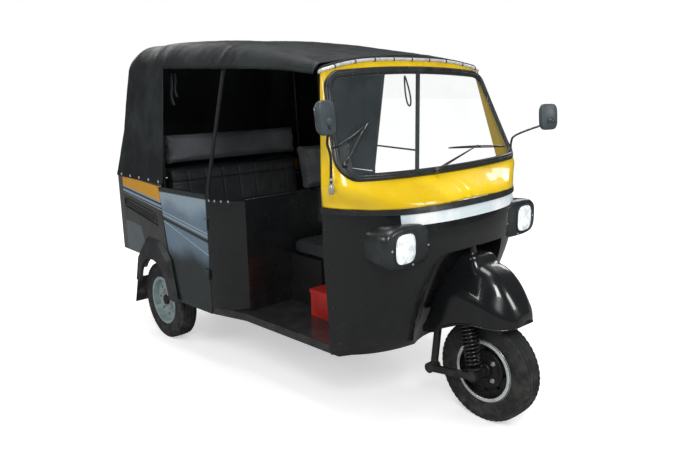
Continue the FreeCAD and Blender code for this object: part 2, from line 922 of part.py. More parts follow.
def door():
    """Half door on the right side, hinged at its front edge."""
    front = pillar_setback + door_gap
    side = [(front, door_foot_height), (front, waist_height),
            (door_rear_top_setback, waist_height), (door_rear_foot_setback, door_foot_height)]
    face = polygon([vec(behind(setback), -flank_y(setback), height) for setback, height in side])
    panel = Part.Face(face).extrude(vec(0, door_thickness, 0))
    span = waist_height - door_foot_height
    for share in hinge_height_shares:
        low = door_foot_height + span * share
        spot = vec(hinge_x(), -hinge_y(), low)
        knuckle = Part.makeCylinder(hinge_radius, hinge_length, spot)
        leaf = block(behind(front) - hinge_length / 2, hinge_x(), -hinge_y() - hinge_radius / 2,
                     -flank_y(front) + sheet_thickness, low, low + hinge_length)
        panel = panel.fuse(knuckle).fuse(leaf)
    return panel.removeSplitter()


def hinge_x():
    return behind(pillar_setback + door_gap / 2)


def hinge_y():
    return middle_width / 2 + hinge_radius + fit_gap


# Rear body

def arch_outline(y, foot_drop):
    """Side outline of the wheel opening."""
    centre = rear_axle_x
    top = axle_height + arch_inner_rise
    bend = axle_height + arch_inner_rise / 2
    low = arch_foot_height - foot_drop
    lean = arch_inner_half / 5
    front = vec(centre + arch_inner_half, y, bend)
    rear = vec(centre - arch_inner_half, y, bend)
    front_foot = vec(front.x + lean, y, low)
    rear_foot = vec(rear.x - lean, y, low)
    edges = [Part.LineSegment(front_foot, front).toShape(),
             Part.Arc(front, vec(centre, y, top), rear).toShape(),
             Part.LineSegment(rear, rear_foot).toShape(),
             Part.LineSegment(rear_foot, front_foot).toShape()]
    return Part.Wire(edges)


def quarter_panel():
    """Right rear side panel with its wheel opening and long recessed trough."""
    outer = rear_width / 2
    top_front = door_rear_top_setback + door_gap
    foot_front = door_rear_foot_setback + door_gap
    slope = (door_rear_top_setback - door_rear_foot_setback) / (waist_height - door_foot_height)
    top_front += slope * (quarter_top_height - waist_height)
    side = [(foot_front, door_foot_height), (top_front, quarter_top_height),
            (tail_split_setback, quarter_top_height), (tail_split_setback, quarter_foot_height),
            (wheelbase + arch_inner_half + arch_leg_width / 2, quarter_foot_height),
            (wheelbase + arch_inner_half / 2, door_foot_height)]
    face = polygon([vec(behind(setback), -outer, height) for setback, height in side])
    panel = Part.Face(face).extrude(vec(0, door_thickness, 0))
    opening = prism(arch_outline(-outer - overrun, overrun), vec(0, 2 * overrun, 0))
    panel = panel.cut(opening)
    rear_x = behind(tail_split_setback) + door_gap
    front_x = behind(door_rear_top_setback) - trough_height / 2
    half = trough_height / 2
    trough = [vec(rear_x, -outer, trough_rear_height - half),
              vec(front_x, -outer, trough_front_height - half),
              vec(front_x, -outer, trough_front_height + half),
              vec(rear_x, -outer, trough_rear_height + half)]
    groove = prism(rounded(trough, trough_height / 4), vec(0, trough_depth, 0))
    return panel.cut(groove)


def flare_outline(y, outset):
    """Side outline of the flare, moved out by the outset above its feet."""
    half = arch_inner_half + arch_leg_width + outset
    rise = axle_height + arch_inner_rise + arch_band + outset - arch_foot_height
    corners = [vec(rear_axle_x + half * across, y, arch_foot_height + rise * up)
               for across, up in arch_corner_shares]
    return rounded(corners, [0, arch_round, arch_round, arch_round, arch_round, 0])


def wheel_arch():
    """Flared plastic band round the right wheel opening, bevelled towards the body."""
    y = -rear_width / 2 - fit_gap
    flare = Part.makeLoft([flare_outline(y, 0), flare_outline(y - arch_proud, -arch_bevel)], True, True)
    opening = prism(arch_outline(y - overrun, overrun), vec(0, 2 * overrun, 0))
    return flare.cut(opening)


def mudflap():
    """Flap behind the right wheel, slanting back from the flare's rear foot."""
    half = arch_inner_half + arch_leg_width
    across, up = arch_corner_shares[-1]
    x = rear_axle_x + half * across
    rise = axle_height + arch_inner_rise + arch_band - arch_foot_height
    high = arch_foot_height + rise * up
    y = -rear_width / 2
    side = [vec(x, y, high), vec(x - flap_slant, y, high - flap_height),
            vec(x - flap_slant + flap_thickness, y, high - flap_height), vec(x + flap_thickness, y, high)]
    return prism(polygon(side), vec(0, flap_width, 0))


def tail_panel():
    """Tail with rounded corners, open in the middle for the rear lid."""
    outer = rear_width / 2
    rear = behind(tail_setback)
    front = behind(tail_split_setback) - fit_gap
    plan = [vec(front, -outer, quarter_foot_height), vec(rear, -outer, quarter_foot_height),
            vec(rear, outer, quarter_foot_height), vec(front, outer, quarter_foot_height)]
    radii = [0, tail_corner_radius, tail_corner_radius, 0]
    height = quarter_top_height - quarter_foot_height
    solid = prism(rounded(plan, radii), vec(0, 0, height))
    t = door_thickness
    low = quarter_foot_height - overrun
    inner = [vec(front + overrun, -outer + t, low), vec(rear + t, -outer + t, low),
             vec(rear + t, outer - t, low), vec(front + overrun, outer - t, low)]
    inner_radius = tail_corner_radius - t
    hollow = prism(rounded(inner, [0, inner_radius, inner_radius, 0]), vec(0, 0, height + 2 * overrun))
    return solid.cut(hollow).cut(lid_solid(-door_gap, overrun))


def lid_solid(inset, run):
    half = lid_width / 2 - inset
    low = lid_foot_height + inset
    high = lid_foot_height + lid_height - inset
    x = behind(tail_setback) - run
    corners = [vec(x, -half, low), vec(x, half, low), vec(x, half, high), vec(x, -half, high)]
    return prism(rounded(corners, lid_radius), vec(2 * run + lid_thickness, 0, 0))


def lid_hinge_x():
    return behind(tail_setback) - hinge_radius - fit_gap


def lid_hinge_height():
    return lid_foot_height + lid_height + door_gap / 2


def engine_lid():
    """Rear lid over the engine, hanging from two knuckles along its top edge."""
    lid = lid_solid(0, 0)
    x = lid_hinge_x()
    for y in (-lid_hinge_spacing / 2, lid_hinge_spacing / 2):
        start = vec(x, y - hinge_length / 2, lid_hinge_height())
        knuckle = rod(start, start + vec(0, hinge_length, 0), hinge_radius)
        leaf = block(x - sheet_thickness, behind(tail_setback) + sheet_thickness, y - hinge_length / 2,
                     y + hinge_length / 2, lid_hinge_height() - hinge_length / 2,
                     lid_hinge_height() - door_gap / 2)
        lid = lid.fuse(knuckle).fuse(leaf)
    return lid.removeSplitter()


def rear_deck():
    """Riser in front of the bench and the deck over engine and wheels."""
    front = behind(riser_setback) - fit_gap
    rear = behind(tail_split_setback)
    half = rear_width / 2 - door_thickness - fit_gap
    riser_half = middle_width / 2 - door_thickness - door_gap
    t = deck_thickness
    deck = block(rear, front, -half, half, deck_height - t, deck_height)
    riser = block(front - t, front, -riser_half, riser_half, floor_height - sheet_thickness, deck_height)
    notch = behind(door_rear_top_setback + door_gap)
    corner = block(notch, front + overrun, riser_half, rear_width, 0, roof_height)
    deck = deck.cut(corner).cut(mirrored(corner))
    return join(deck, riser)


# Seats

def pad(x0, x1, half, z0, z1, lean):
    """Soft pad with rounded long edges, leaning back by a run over its height."""
    corners = [vec(x0, -half, z0), vec(x1, -half, z0), vec(x1 - lean, -half, z1), vec(x0 - lean, -half, z1)]
    return prism(rounded(corners, cushion_radius), vec(0, 2 * half, 0))


def bench_cushion():
    low = deck_height + fit_gap
    x1 = behind(bench_setback)
    return pad(x1 - bench_depth, x1, bench_width / 2, low, low + bench_thickness, 0)


def bench_backrest():
    low = deck_height + bench_thickness + 2 * fit_gap
    x1 = behind(bench_setback + bench_depth) + backrest_thickness
    lean = backrest_thickness / 2
    return pad(x1 - backrest_thickness, x1, bench_width / 2, low, headrest_foot_height - fit_gap, lean)


def bench_headrest():
    x1 = behind(bench_setback + bench_depth) + backrest_thickness / 2
    lean = backrest_thickness / 4
    high = headrest_foot_height + headrest_height
    return pad(x1 - backrest_thickness, x1, bench_width / 2, headrest_foot_height, high, lean)


def driver_seat_base():
    x0 = behind(partition_setback) + fit_gap
    half = driver_seat_width / 2
    high = floor_height + driver_seat_base_height
    box = block(x0, x0 + driver_seat_depth, -half, half, floor_height, high)
    t = partition_wall
    inside = block(x0 + t, x0 + driver_seat_depth - t, -half + t, half - t, floor_height - t, high - t)
    return box.cut(inside)


def driver_cushion():
    x0 = behind(partition_setback) + fit_gap
    low = floor_height + driver_seat_base_height + fit_gap
    return pad(x0, x0 + driver_seat_depth + driver_cushion_lip, driver_seat_width / 2,
               low, low + driver_cushion_thickness, 0)


def backrest_foot_height():
    return partition_height + partition_rail_radius * 3 / 2 + fit_gap


def driver_backrest():
    x0 = behind(partition_setback) + backrest_offset
    low = backrest_foot_height()
    return pad(x0, x0 + driver_backrest_thickness, driver_backrest_width / 2,
               low, low + driver_backrest_height, driver_backrest_thickness)


# Canopy

def arch_wire(x, half, shoulder, crown, feet, radius):
    """Arch across the vehicle; feet are the points of its right side below the shoulder."""
    right = [vec(x, -y, z) for y, z in feet]
    left = [vec(x, y, z) for y, z in reversed(feet)]
    points = right + [vec(x, -half, shoulder), vec(x, 0, crown), vec(x, half, shoulder)] + left
    straight = [0] * len(feet)
    return rounded(points, straight + [radius, canopy_crown_radius, radius] + straight)


def canopy_tail_foot():
    """Setback of the canopy's rear hem, outside the tail panel."""
    return tail_setback + canopy_thickness + canopy_skirt_gap


def roof_solid(inset, rows, low_feet):
    """Arched solid through rows of shares, on its own eaves or on the given feet."""
    wires = []
    length = canopy_tail_foot() - canopy_front_setback
    drop = overrun if inset else 0
    for share, width, foot_share, shoulder, crown in rows:
        half = rear_width / 2 * width - inset
        feet = low_feet if low_feet else [(half, roof_height * foot_share - drop)]
        x = behind(canopy_front_setback + share * length)
        radius = min(canopy_shoulder_radius, roof_height * (shoulder - foot_share)) - inset
        wires.append(arch_wire(x, half, roof_height * shoulder - inset,
                               roof_height * crown - inset, feet, radius))
    return Part.makeLoft(wires, True, True)


def canopy_front(inset):
    """Roof from the header to the rear quarters, over the driver and the doors."""
    length = canopy_tail_foot() - canopy_front_setback
    end = (canopy_pod_setback - canopy_front_setback) / length
    rows = [row for row in canopy_section_shares if row[0] < end] + [roof_row(end)]
    return roof_solid(inset, rows, None)


def roof_row(share):
    """Row of the roof's shares at any distance from its front edge."""
    rows = canopy_section_shares
    for low, high in zip(rows, rows[1:]):
        if share <= high[0]:
            part = (share - low[0]) / (high[0] - low[0])
            return tuple(a + (b - a) * part for a, b in zip(low, high))
    return rows[-1]


def canopy_pod(inset):
    """Rear of the canopy: an arch, bounded by the slanting tail and its rounded corners."""
    length = canopy_tail_foot() - canopy_front_setback
    start = (canopy_pod_setback - canopy_front_setback) / length
    half = rear_width / 2 + canopy_thickness + canopy_skirt_gap - inset
    rows = [roof_row(start), canopy_section_shares[-1]]
    drop = overrun if inset else 0
    low = canopy_hem_height - drop
    bend = quarter_top_height + canopy_ease * 3
    arch = roof_solid(inset, rows, [(half, low), (half, bend)])
    front = behind(canopy_pod_setback) + drop
    foot_x = behind(canopy_tail_foot()) + inset
    shoulder_x = behind(canopy_rear_shoulder_setback) + inset
    crown_x = behind(canopy_rear_crown_setback) + inset
    wide = rear_width
    side = [vec(front, -wide, low), vec(foot_x, -wide, low), vec(foot_x, -wide, bend),
            vec(shoulder_x, -wide, canopy_rear_shoulder_height - inset),
            vec(crown_x, -wide, roof_height + canopy_ease - inset), vec(front, -wide, roof_height + overrun)]
    profile = prism(rounded(side, [0, 0, 0, canopy_corner_radius, canopy_corner_radius, 0]),
                    vec(0, 2 * wide, 0))
    plan = [vec(front + overrun, -half, 0), vec(foot_x, -half, 0), vec(foot_x, half, 0),
            vec(front + overrun, half, 0)]
    radius = tail_corner_radius + canopy_thickness + canopy_skirt_gap - inset
    column = prism(rounded(plan, [0, radius, radius, 0]), vec(0, 0, roof_height + overrun))
    return arch.common(profile).common(column)


def canopy():
    """Roof sheet from the header to the tail, closed at the rear and down the rear quarters."""
    front = canopy_front(0).cut(canopy_front(canopy_thickness))
    rear = canopy_pod(0).cut(canopy_pod(canopy_thickness))
    return front.fuse(rear)


def post_hoop_foot():
    """Setback of the front hoop's feet, just ahead of the door posts."""
    return pillar_setback - hoop_radius - 2 * fit_gap


def hoop(setback, foot_setback, foot_half, foot_height):
    """Bent tube from one side over the roof to the other."""
    length = canopy_tail_foot() - canopy_front_setback
    row = roof_row((setback - canopy_front_setback) / length)
    inset = canopy_thickness + hoop_radius + canopy_ease
    half = rear_width / 2 * row[1] - inset - hoop_radius
    x = behind(setback)
    bend_height = roof_height * (row[4] + (row[3] - row[4]) * hoop_bend_share) - inset - hoop_radius
    right = [vec(behind(foot_setback), -foot_half, foot_height),
             vec(behind(foot_setback), -foot_half, foot_height + overrun),
             vec(x, -half, roof_height * row[3] - 2 * inset),
             vec(x, -half * hoop_bend_share, bend_height)]
    left = [vec(point.x, -point.y, point.z) for point in reversed(right)]
    return bent_rod(right + left, hoop_radius, canopy_shoulder_radius)


def guard_post():
    """Upright on the left edge of the driver's floor, with a bar back to the door post's hoop."""
    length = canopy_tail_foot() - canopy_front_setback
    row = roof_row((guard_post_setback - canopy_front_setback) / length)
    x = behind(guard_post_setback)
    high = roof_height * row[2] - 2 * canopy_ease
    low_end = vec(x, guard_post_half, floor_height + fit_gap)
    post = rod(low_end, vec(x, guard_post_half, high), guard_post_radius)
    foot = vec(behind(post_hoop_foot()), middle_width / 2 - partition_wall / 2, 0)
    row = roof_row((post_hoop_setback - canopy_front_setback) / length)
    inset = canopy_thickness + hoop_radius + canopy_ease
    head = vec(behind(post_hoop_setback), rear_width / 2 * row[1] - inset - hoop_radius, 0)
    low = partition_height + fit_gap + overrun
    share = (guard_bar_height - low) / (roof_height * row[3] - 2 * inset - low)
    end = foot + (head - foot) * share
    end.z = guard_bar_height
    bar = rod(end, vec(x, guard_post_half, guard_bar_height), guard_bar_radius)
    return post.fuse(bar)


def canopy_frame():
    """Hoops at the door posts, ahead of the rear quarters and at the tail."""
    post_half = middle_width / 2 - partition_wall / 2
    post = hoop(post_hoop_setback, post_hoop_foot(), post_half, partition_height + fit_gap)
    side_half = rear_width / 2 - door_thickness - hoop_radius * 2
    middle_setback = canopy_pod_setback + overrun * 2
    middle = hoop(middle_setback, middle_setback, side_half, deck_height + fit_gap)
    last_setback = canopy_rear_crown_setback - overrun
    tail = hoop(last_setback, last_setback, side_half, deck_height + fit_gap)
    return Part.makeCompound([join(post, guard_post()), middle, tail])


def side_curtain():
    """Curtain let down on the left side between the door post's hoop and the rear quarter."""
    length = canopy_tail_foot() - canopy_front_setback
    low = waist_height + door_gap
    foot_y = middle_width / 2
    rear_setback = canopy_pod_setback - canopy_ease
    wires = []
    for foot_setback, head_setback in (
            (curtain_foot_setback, curtain_head_setback), (rear_setback, rear_setback)):
        row = roof_row((head_setback - canopy_front_setback) / length)
        y = rear_width / 2 * row[1]
        high = roof_height * row[2] - canopy_ease
        foot_x = behind(foot_setback)
        head_x = behind(head_setback)
        wires.append(polygon([vec(foot_x, foot_y, low), vec(foot_x, foot_y - canopy_thickness, low),
                              vec(head_x, y - canopy_thickness, high), vec(head_x, y, high)]))
    return Part.makeLoft(wires, True, True)


# Chassis, engine and rear suspension

def chassis_frame():
    """Two rails with cross members, and the head tube on its two stays."""
    high = floor_height - sheet_thickness
    low = high - rail_height
    half = rail_spacing / 2
    front = behind(rail_front_setback)
    riser = behind(riser_setback)
    rear = behind(rail_rear_setback)
    rail = block(rear, front, half - rail_width / 2, half + rail_width / 2, low, high)
    gap = sheet_thickness * 2
    inner = block(rear - overrun, front + overrun, half - rail_width / 2 + gap,
                  half + rail_width / 2 - gap, low + gap, high - gap)
    rail = rail.cut(inner)
    members = [rail, mirrored(rail)]
    member_half = floor_front_width / 2 - sheet_thickness * 3
    span = rail_front_setback - riser_setback
    for share in cross_member_shares:
        x = front + span * share
        members.append(block(x - rail_width / 2, x + rail_width / 2, -member_half, member_half,
                             low + gap, high - gap))
    x = rear + rail_width
    members.append(block(x - rail_width / 2, x + rail_width / 2, -half, half, low + gap, high - gap))
    head_low = along_axis(well_top_height) + shell_wall + fit_gap
    head_high = along_axis(seam_height) - rail_height * 2
    tube = Part.makeCylinder(head_tube_radius, head_high - head_low, vec(0, 0, head_low))
    bore = Part.makeCylinder(column_radius + running_gap, head_high, vec(0, 0, head_low - overrun))
    head = along_steering(tube)
    crown = on_axis(seam_height - crown_drop)
    knee = vec(behind(shell_setback) + rail_height, half, well_top_height)
    ankle = vec(front - rail_height / 2, half, floor_height + rail_height)
    foot = vec(ankle.x, half, floor_height)
    stay = bent_rod([crown, knee, ankle, foot], fork_radius, rail_height)
    shape = join(*members)
    shape = shape.fuse(head).fuse(stay).fuse(mirrored(stay))
    return shape.cut(along_steering(bore)).removeSplitter()


def engine_rear_x():
    return behind(rail_rear_setback) + rail_width * 2


def engine_block():
    """Engine and gearbox as one block, on a lug at each rail."""
    x = engine_rear_x()
    body = block(x, x + engine_length, -engine_width / 2, engine_width / 2,
                 engine_clearance, engine_clearance + engine_height)
    reach = rail_spacing / 2 - rail_width / 2 - fit_gap
    middle = x + engine_length / 2
    high = floor_height - sheet_thickness - rail_width / 4
    lug = block(middle - rail_width, middle + rail_width, -reach, reach, high - rail_width, high)
    return join(body, lug)


def exhaust():
    """Silencer across the tail with its pipe from the engine."""
    x = behind(rail_rear_setback)
    z = engine_clearance + silencer_radius
    inner_end = vec(x, silencer_ends[0], z)
    outer_end = vec(x, silencer_ends[1], z)
    pipe_radius = silencer_radius / 4
    engine_end = vec(engine_rear_x() - fit_gap, exhaust_pipe_side, z)
    pipe = rod(vec(x, exhaust_pipe_side, z), engine_end, pipe_radius)
    outlet = rod(outer_end, outer_end + vec(0, outlet_length, 0), pipe_radius)
    return join(rod(inner_end, outer_end, silencer_radius), pipe, outlet)


def rear_suspension():
    """Right trailing arm with its hub carrier, stub axle and spring leg."""
    hub_y = rear_track / 2 - disc_dish - rail_width / 2
    pivot = vec(behind(arm_pivot_setback), rail_spacing / 2 + rail_width / 2, 0)
    z = floor_height - sheet_thickness - rail_height / 2
    start = vec(pivot.x, pivot.y + fit_gap, z)
    bush = rod(start, start + vec(0, rail_width, 0), arm_bush_radius)
    start += vec(0, rail_width / 2, 0)
    elbow = vec(pivot.x - rail_height, hub_y - rail_width * 2, z)
    end = vec(rear_axle_x, hub_y - rail_width * 3 / 2, axle_height)
    arm = bent_rod([start, elbow, end], fork_radius, rail_height)
    carrier = rod(vec(rear_axle_x, hub_y - rail_width * 2, axle_height),
                  vec(rear_axle_x, hub_y - rail_width / 2, axle_height), hub_diameter / 2)
    stub = rod(vec(rear_axle_x, hub_y - rail_width, axle_height),
               vec(rear_axle_x, rear_track / 2 + disc_dish, axle_height), stub_diameter / 2)
    leg_y = hub_y - spring_leg_inset
    leg = rod(vec(rear_axle_x + rail_width, leg_y, axle_height + fork_radius),
              vec(rear_axle_x + rail_width, leg_y, deck_height - deck_thickness - fit_gap), spring_leg_radius)
    return join(bush, arm, carrier, stub, leg)


# Steering, front suspension and mudguard

def pivot_point():
    return vec(behind(pivot_setback), -fork_side, pivot_height)


def steering_fork():
    """Column, handlebar and the single fork leg beside the wheel."""
    top = on_axis(handlebar_height)
    clear_top = axle_height + tyre_radius + rail_height * 2
    low = on_axis(clear_top)
    column = rod(low, top, column_radius)
    elbow = vec(behind(pivot_setback) + rail_width, -fork_side, clear_top - rail_height / 2)
    leg = bent_rod([low, elbow, pivot_point()], fork_radius, rail_height)
    boss = rod(pivot_point() - vec(0, link_thickness, 0), pivot_point() + vec(0, link_thickness, 0),
               pivot_radius)
    seat = spring_head()
    arm = rod(vec(elbow.x, -fork_side, elbow.z), seat, link_thickness / 2 - fit_gap)
    lean = spring_lean()
    cup_low = seat - lean * (link_thickness / 2)
    cup = Part.makeCylinder(spring_radius + spring_cup_lip, link_thickness, cup_low, lean)
    grip = vec(behind(grip_setback), handlebar_half_width, handlebar_height)
    inner = vec(behind(grip_setback) + grip_length / 3, handlebar_half_width - grip_length, handlebar_height)
    side = bent_rod([top, vec(top.x - grip_length / 2, grip_length, handlebar_height), inner, grip],
                    bar_radius, grip_length / 2)
    hold = rod(inner + (grip - inner) * grip_start_share, grip, grip_radius)
    bars = side.fuse(hold)
    return join(column, leg, boss, arm, cup, bars, mirrored(bars))


def link_half():
    """Half height of the link's bar."""
    return link_thickness * link_depth_share


def spring_foot():
    """Middle of the spring's lower seat, just above the hub's boss."""
    height = axle_height + pivot_radius + spring_wire
    return vec(behind(spring_foot_setback), -fork_side, height)


def spring_head():
    """Middle of the spring's upper seat, on the fork."""
    height = axle_height + tyre_radius + rail_height * 2 - rail_height / 2
    return vec(behind(spring_head_setback), -fork_side, height)


def spring_lean():
    """Direction of the spring's axis, upwards."""
    lean = spring_head() - spring_foot()
    return lean.normalize()


def front_link():
    """Leading link beside the fork's pivot, with its spring cup and the stub axle."""
    outer_y = -fork_side - link_thickness - fit_gap
    width = vec(0, link_thickness, 0)
    eye = vec(behind(pivot_setback), outer_y, pivot_height)
    hub = vec(front_axle_x, outer_y, axle_height)
    half = link_half()
    side = [eye + vec(0, 0, -half), hub + vec(0, 0, -half), hub + vec(0, 0, half), eye + vec(0, 0, half)]
    bar = Part.Face(polygon(side)).extrude(-width)
    knuckle = rod(eye, eye - width, pivot_radius)
    boss = rod(hub - width, vec(front_axle_x, -bead_width / 2 - flange_thickness - 2 * fit_gap, axle_height),
               pivot_radius)
    stub = rod(hub, vec(front_axle_x, disc_dish, axle_height), stub_diameter / 2)
    lean = spring_lean()
    foot = spring_foot()
    cup = Part.makeCylinder(spring_radius, link_thickness / 2, foot - lean * (link_thickness / 2), lean)
    tab = block(foot.x - half, foot.x + half, outer_y - link_thickness / 2, -fork_side,
                foot.z - link_thickness, foot.z - link_thickness / 2)
    return join(bar, knuckle, boss, stub, cup, tab)


def front_spring():
    """Coil spring beside the wheel, as the sleeve of its outer shape with every turn showing."""
    lean = spring_lean()
    across = vec(lean.z, 0, -lean.x)
    low = spring_foot() + lean * fit_gap
    high = spring_head() - lean * (link_thickness / 2 + fit_gap)
    pitch = (high - low).Length / (2 * spring_turns)
    points = [low]
    for i in range(2 * spring_turns + 1):
        reach = spring_radius if i % 2 else spring_radius - spring_wire / 2
        points.append(low + lean * (i * pitch) + across * reach)
    points.append(high)
    return Part.Face(polygon(points)).revolve(low, lean, full_turn)


def fender_solid(inset):
    wires = []
    for along, width, foot, shoulder, top in fender_section_shares:
        x = front_axle_x + fender_nose_lead - fender_length * (1 - along)
        if along == fender_section_shares[-1][0]:
            x -= inset
        half = fender_half_width * width - inset
        low = fender_foot_height + fender_height * foot - (overrun if inset else 0)
        mid = fender_foot_height + fender_height * shoulder - inset / 2
        high = fender_foot_height + fender_height * top - inset
        crest = half * fender_top_share
        corners = [vec(x, -half, low), vec(x, -half, mid), vec(x, -crest, high), vec(x, crest, high),
                   vec(x, half, mid), vec(x, half, low)]
        wires.append(rounded(corners, [0, rail_height, rail_height, rail_height, rail_height, 0]))
    return Part.makeLoft(wires, True, False)


def fender_neck(inset):
    """Raised neck of the mudguard round the steering column."""
    drop = overrun if inset else 0
    wires = []
    for height, setbacks, half in (
            (fender_neck_foot_height - drop, fender_neck_foot_setbacks, fender_neck_foot_half),
            (fender_neck_head_height - inset, fender_neck_head_setbacks, fender_neck_head_half)):
        front = behind(setbacks[0]) - inset
        rear = behind(setbacks[1]) + inset
        side = half - inset
        corners = [vec(rear, -side, height), vec(front, -side, height),
                   vec(front, side, height), vec(rear, side, height)]
        wires.append(rounded(corners, fender_neck_radius - inset))
    return Part.makeLoft(wires, True, True)


def front_fender():
    """Deep mudguard that turns with the wheel, with a raised neck, open below and behind."""
    outer = fender_solid(0).fuse(fender_neck(0))
    inner = fender_solid(shell_wall).fuse(fender_neck(shell_wall))
    shape = outer.cut(inner)
    y = -fender_half_width - overrun
    edge = [vec(behind(fender_length * back), y, fender_foot_height + fender_height * up)
            for back, up in fender_rear_shares]
    far = behind(fender_length)
    behind_edge = polygon(edge + [vec(far, y, edge[-1].z), vec(far, y, edge[0].z)])
    shape = shape.cut(prism(behind_edge, vec(0, -2 * y, 0)))
    hole = Part.makeCylinder(column_radius + fit_gap, roof_height)
    return shape.cut(along_steering(hole))


# Small pieces

def mirror_right(cowl):
    """Mirror on its bent rod, standing on the belt panel beside the windscreen pillar."""
    foot = vec(behind(mirror_foot_setback), -mirror_foot_half - mirror_rod_radius, mirror_foot_height)
    knee = vec(behind(mirror_knee_setback), foot.y, mirror_knee_height)
    head = vec(behind(mirror_setback), -mirror_half_span, mirror_centre_height)
    tip = head + vec(mirror_rod_tip, -mirror_rod_tip, -mirror_head_height / 5)
    stem = bent_rod([foot, knee, tip], mirror_rod_radius, mirror_width / 4)
    clamp = rod(foot, foot + vec(0, 0, mirror_clamp_length), mirror_clamp_radius)
    front = rounded_rectangle(head.x - mirror_depth, head.y, head.z, mirror_width, mirror_head_height,
                              mirror_depth / 2)
    back = rounded_rectangle(head.x, head.y, head.z, mirror_width * mirror_back_share,
                             mirror_head_height * mirror_back_share, mirror_depth / 2)
    shell = Part.makeLoft([front, back], True, True)
    return join(stem, clamp, shell).cut(cowl)


def battery_box():
    x1 = behind(battery_setback)
    y0 = -battery_side
    low = floor_height + fit_gap
    body = block(x1 - battery_length, x1, y0, y0 + battery_width, low, low + battery_height)
    lip = battery_height / 8
    lid = block(x1 - battery_length - lip / 4, x1 + lip / 4, y0 - lip / 4, y0 + battery_width + lip / 4,
                low + battery_height - lip, low + battery_height)
    return join(body, lid)


def tail_lamp():
    y = rear_width / 2 - tail_corner_radius - tail_lamp_width / 2 - door_gap
    z = quarter_top_height - tail_lamp_height
    x = behind(tail_setback) - fit_gap
    outline = rounded_rectangle(x, y, z, tail_lamp_width, tail_lamp_height, tail_lamp_width / 6)
    return prism(outline, vec(-tail_lamp_depth, 0, 0))


def wiper(cowl, spindle_place, blade_ends):
    """Wiper with its spindle, arm and blade, lying just ahead of the glass."""
    out = frame_thickness + seal_proud + wiper_radius * 2
    across, up = spindle_place
    head = screen_point(across, up, out)
    spindle = rod(screen_point(across, up, frame_thickness + fit_gap), head, spindle_radius)
    first, last = [screen_point(end[0], end[1], out) for end in blade_ends]
    arm = rod(head, (first + last) / 2, wiper_radius)
    return join(spindle, arm, rod(first, last, wiper_radius)).cut(cowl)


def export(name, shape):
    shape.exportStep("parts/" + name + ".step")


def main():
    os.makedirs("parts", exist_ok=True)
    rear_y = rear_track / 2
    cowl = front_cowl()
    pieces = {
        "front_tyre": tyre(front_axle_x, 0),
        "front_rim": rim(front_axle_x, 0, -1),
        "rear_tyre_right": tyre(rear_axle_x, -rear_y),
        "rear_rim_right": rim(rear_axle_x, -rear_y, -1),
        "rear_tyre_left": tyre(rear_axle_x, rear_y),
        "rear_rim_left": rim(rear_axle_x, rear_y, 1),
        "front_shell": front_shell(),
        "belt_moulding": belt_moulding(),
        "reflective_strip": reflective_strip(),
        "front_cowl": cowl,
        "roof_visor": roof_visor(),
        "roof_bead": roof_bead(),
        "windscreen_seal": windscreen_seal(),
        "windscreen_glass": windscreen_glass(),
        "dashboard": dashboard(),
        "headlamp_housings": pair(headlamp_housing()),
        "headlamp_lenses": pair(headlamp_lens()),
        "floor_pan": floor_pan(),
        "partition": partition(),
        "door_right": door(),
        "door_left": mirrored(door()),
        "quarter_panels": pair(quarter_panel()),
        "wheel_arches": pair(wheel_arch()),
        "mudflaps": pair(mudflap()),
        "tail_panel": tail_panel(),
        "engine_lid": engine_lid(),
        "rear_deck": rear_deck(),
        "bench_cushion": bench_cushion(),
        "bench_backrest": bench_backrest(),
        "bench_headrest": bench_headrest(),
        "driver_seat_base": driver_seat_base(),
        "driver_cushion": driver_cushion(),
        "driver_backrest": driver_backrest(),
        "canopy": canopy(),
        "canopy_frame": canopy_frame(),
        "side_curtain": side_curtain(),
        "chassis_frame": chassis_frame(),
        "engine_block": engine_block(),
        "exhaust": exhaust(),
        "rear_suspension": pair(rear_suspension()),
        "steering_fork": steering_fork(),
        "front_link": front_link(),
        "front_spring": front_spring(),
        "front_fender": front_fender(),
        "mirrors": pair(mirror_right(cowl)),
        "battery_box": battery_box(),
        "tail_lamps": pair(tail_lamp()),
        "wipers": Part.makeCompound([wiper(cowl, middle_spindle, middle_blade_ends),
                                     wiper(cowl, side_spindle, side_blade_ends)]),
    }
    for name, shape in pieces.items():
        export(name, shape)


main()
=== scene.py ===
import json
import math

import bmesh
import bpy
import numpy as np
from mathutils import Matrix, Vector, noise
from mathutils.bvhtree import BVHTree


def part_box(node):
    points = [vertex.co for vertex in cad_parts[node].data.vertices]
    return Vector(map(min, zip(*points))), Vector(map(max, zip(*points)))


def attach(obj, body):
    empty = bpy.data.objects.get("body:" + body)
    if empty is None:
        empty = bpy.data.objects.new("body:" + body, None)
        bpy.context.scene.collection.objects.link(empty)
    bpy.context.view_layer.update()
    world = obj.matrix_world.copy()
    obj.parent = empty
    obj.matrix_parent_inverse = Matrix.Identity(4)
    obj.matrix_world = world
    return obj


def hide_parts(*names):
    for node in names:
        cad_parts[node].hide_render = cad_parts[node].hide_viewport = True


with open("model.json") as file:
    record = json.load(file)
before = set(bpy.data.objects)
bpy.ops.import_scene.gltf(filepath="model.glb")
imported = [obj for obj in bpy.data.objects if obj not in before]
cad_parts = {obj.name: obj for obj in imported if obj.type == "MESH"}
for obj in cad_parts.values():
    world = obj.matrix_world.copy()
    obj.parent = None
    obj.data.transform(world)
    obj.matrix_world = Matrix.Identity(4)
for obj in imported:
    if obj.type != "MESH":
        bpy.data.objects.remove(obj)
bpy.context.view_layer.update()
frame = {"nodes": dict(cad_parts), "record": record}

# Places from the frame
tyre_low, tyre_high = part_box("front_tyre")
wheel_radius = (tyre_high[2] - tyre_low[2]) / 2
front_axle_x = (tyre_high[0] + tyre_low[0]) / 2
two_sides = (("right", -1), ("left", 1))


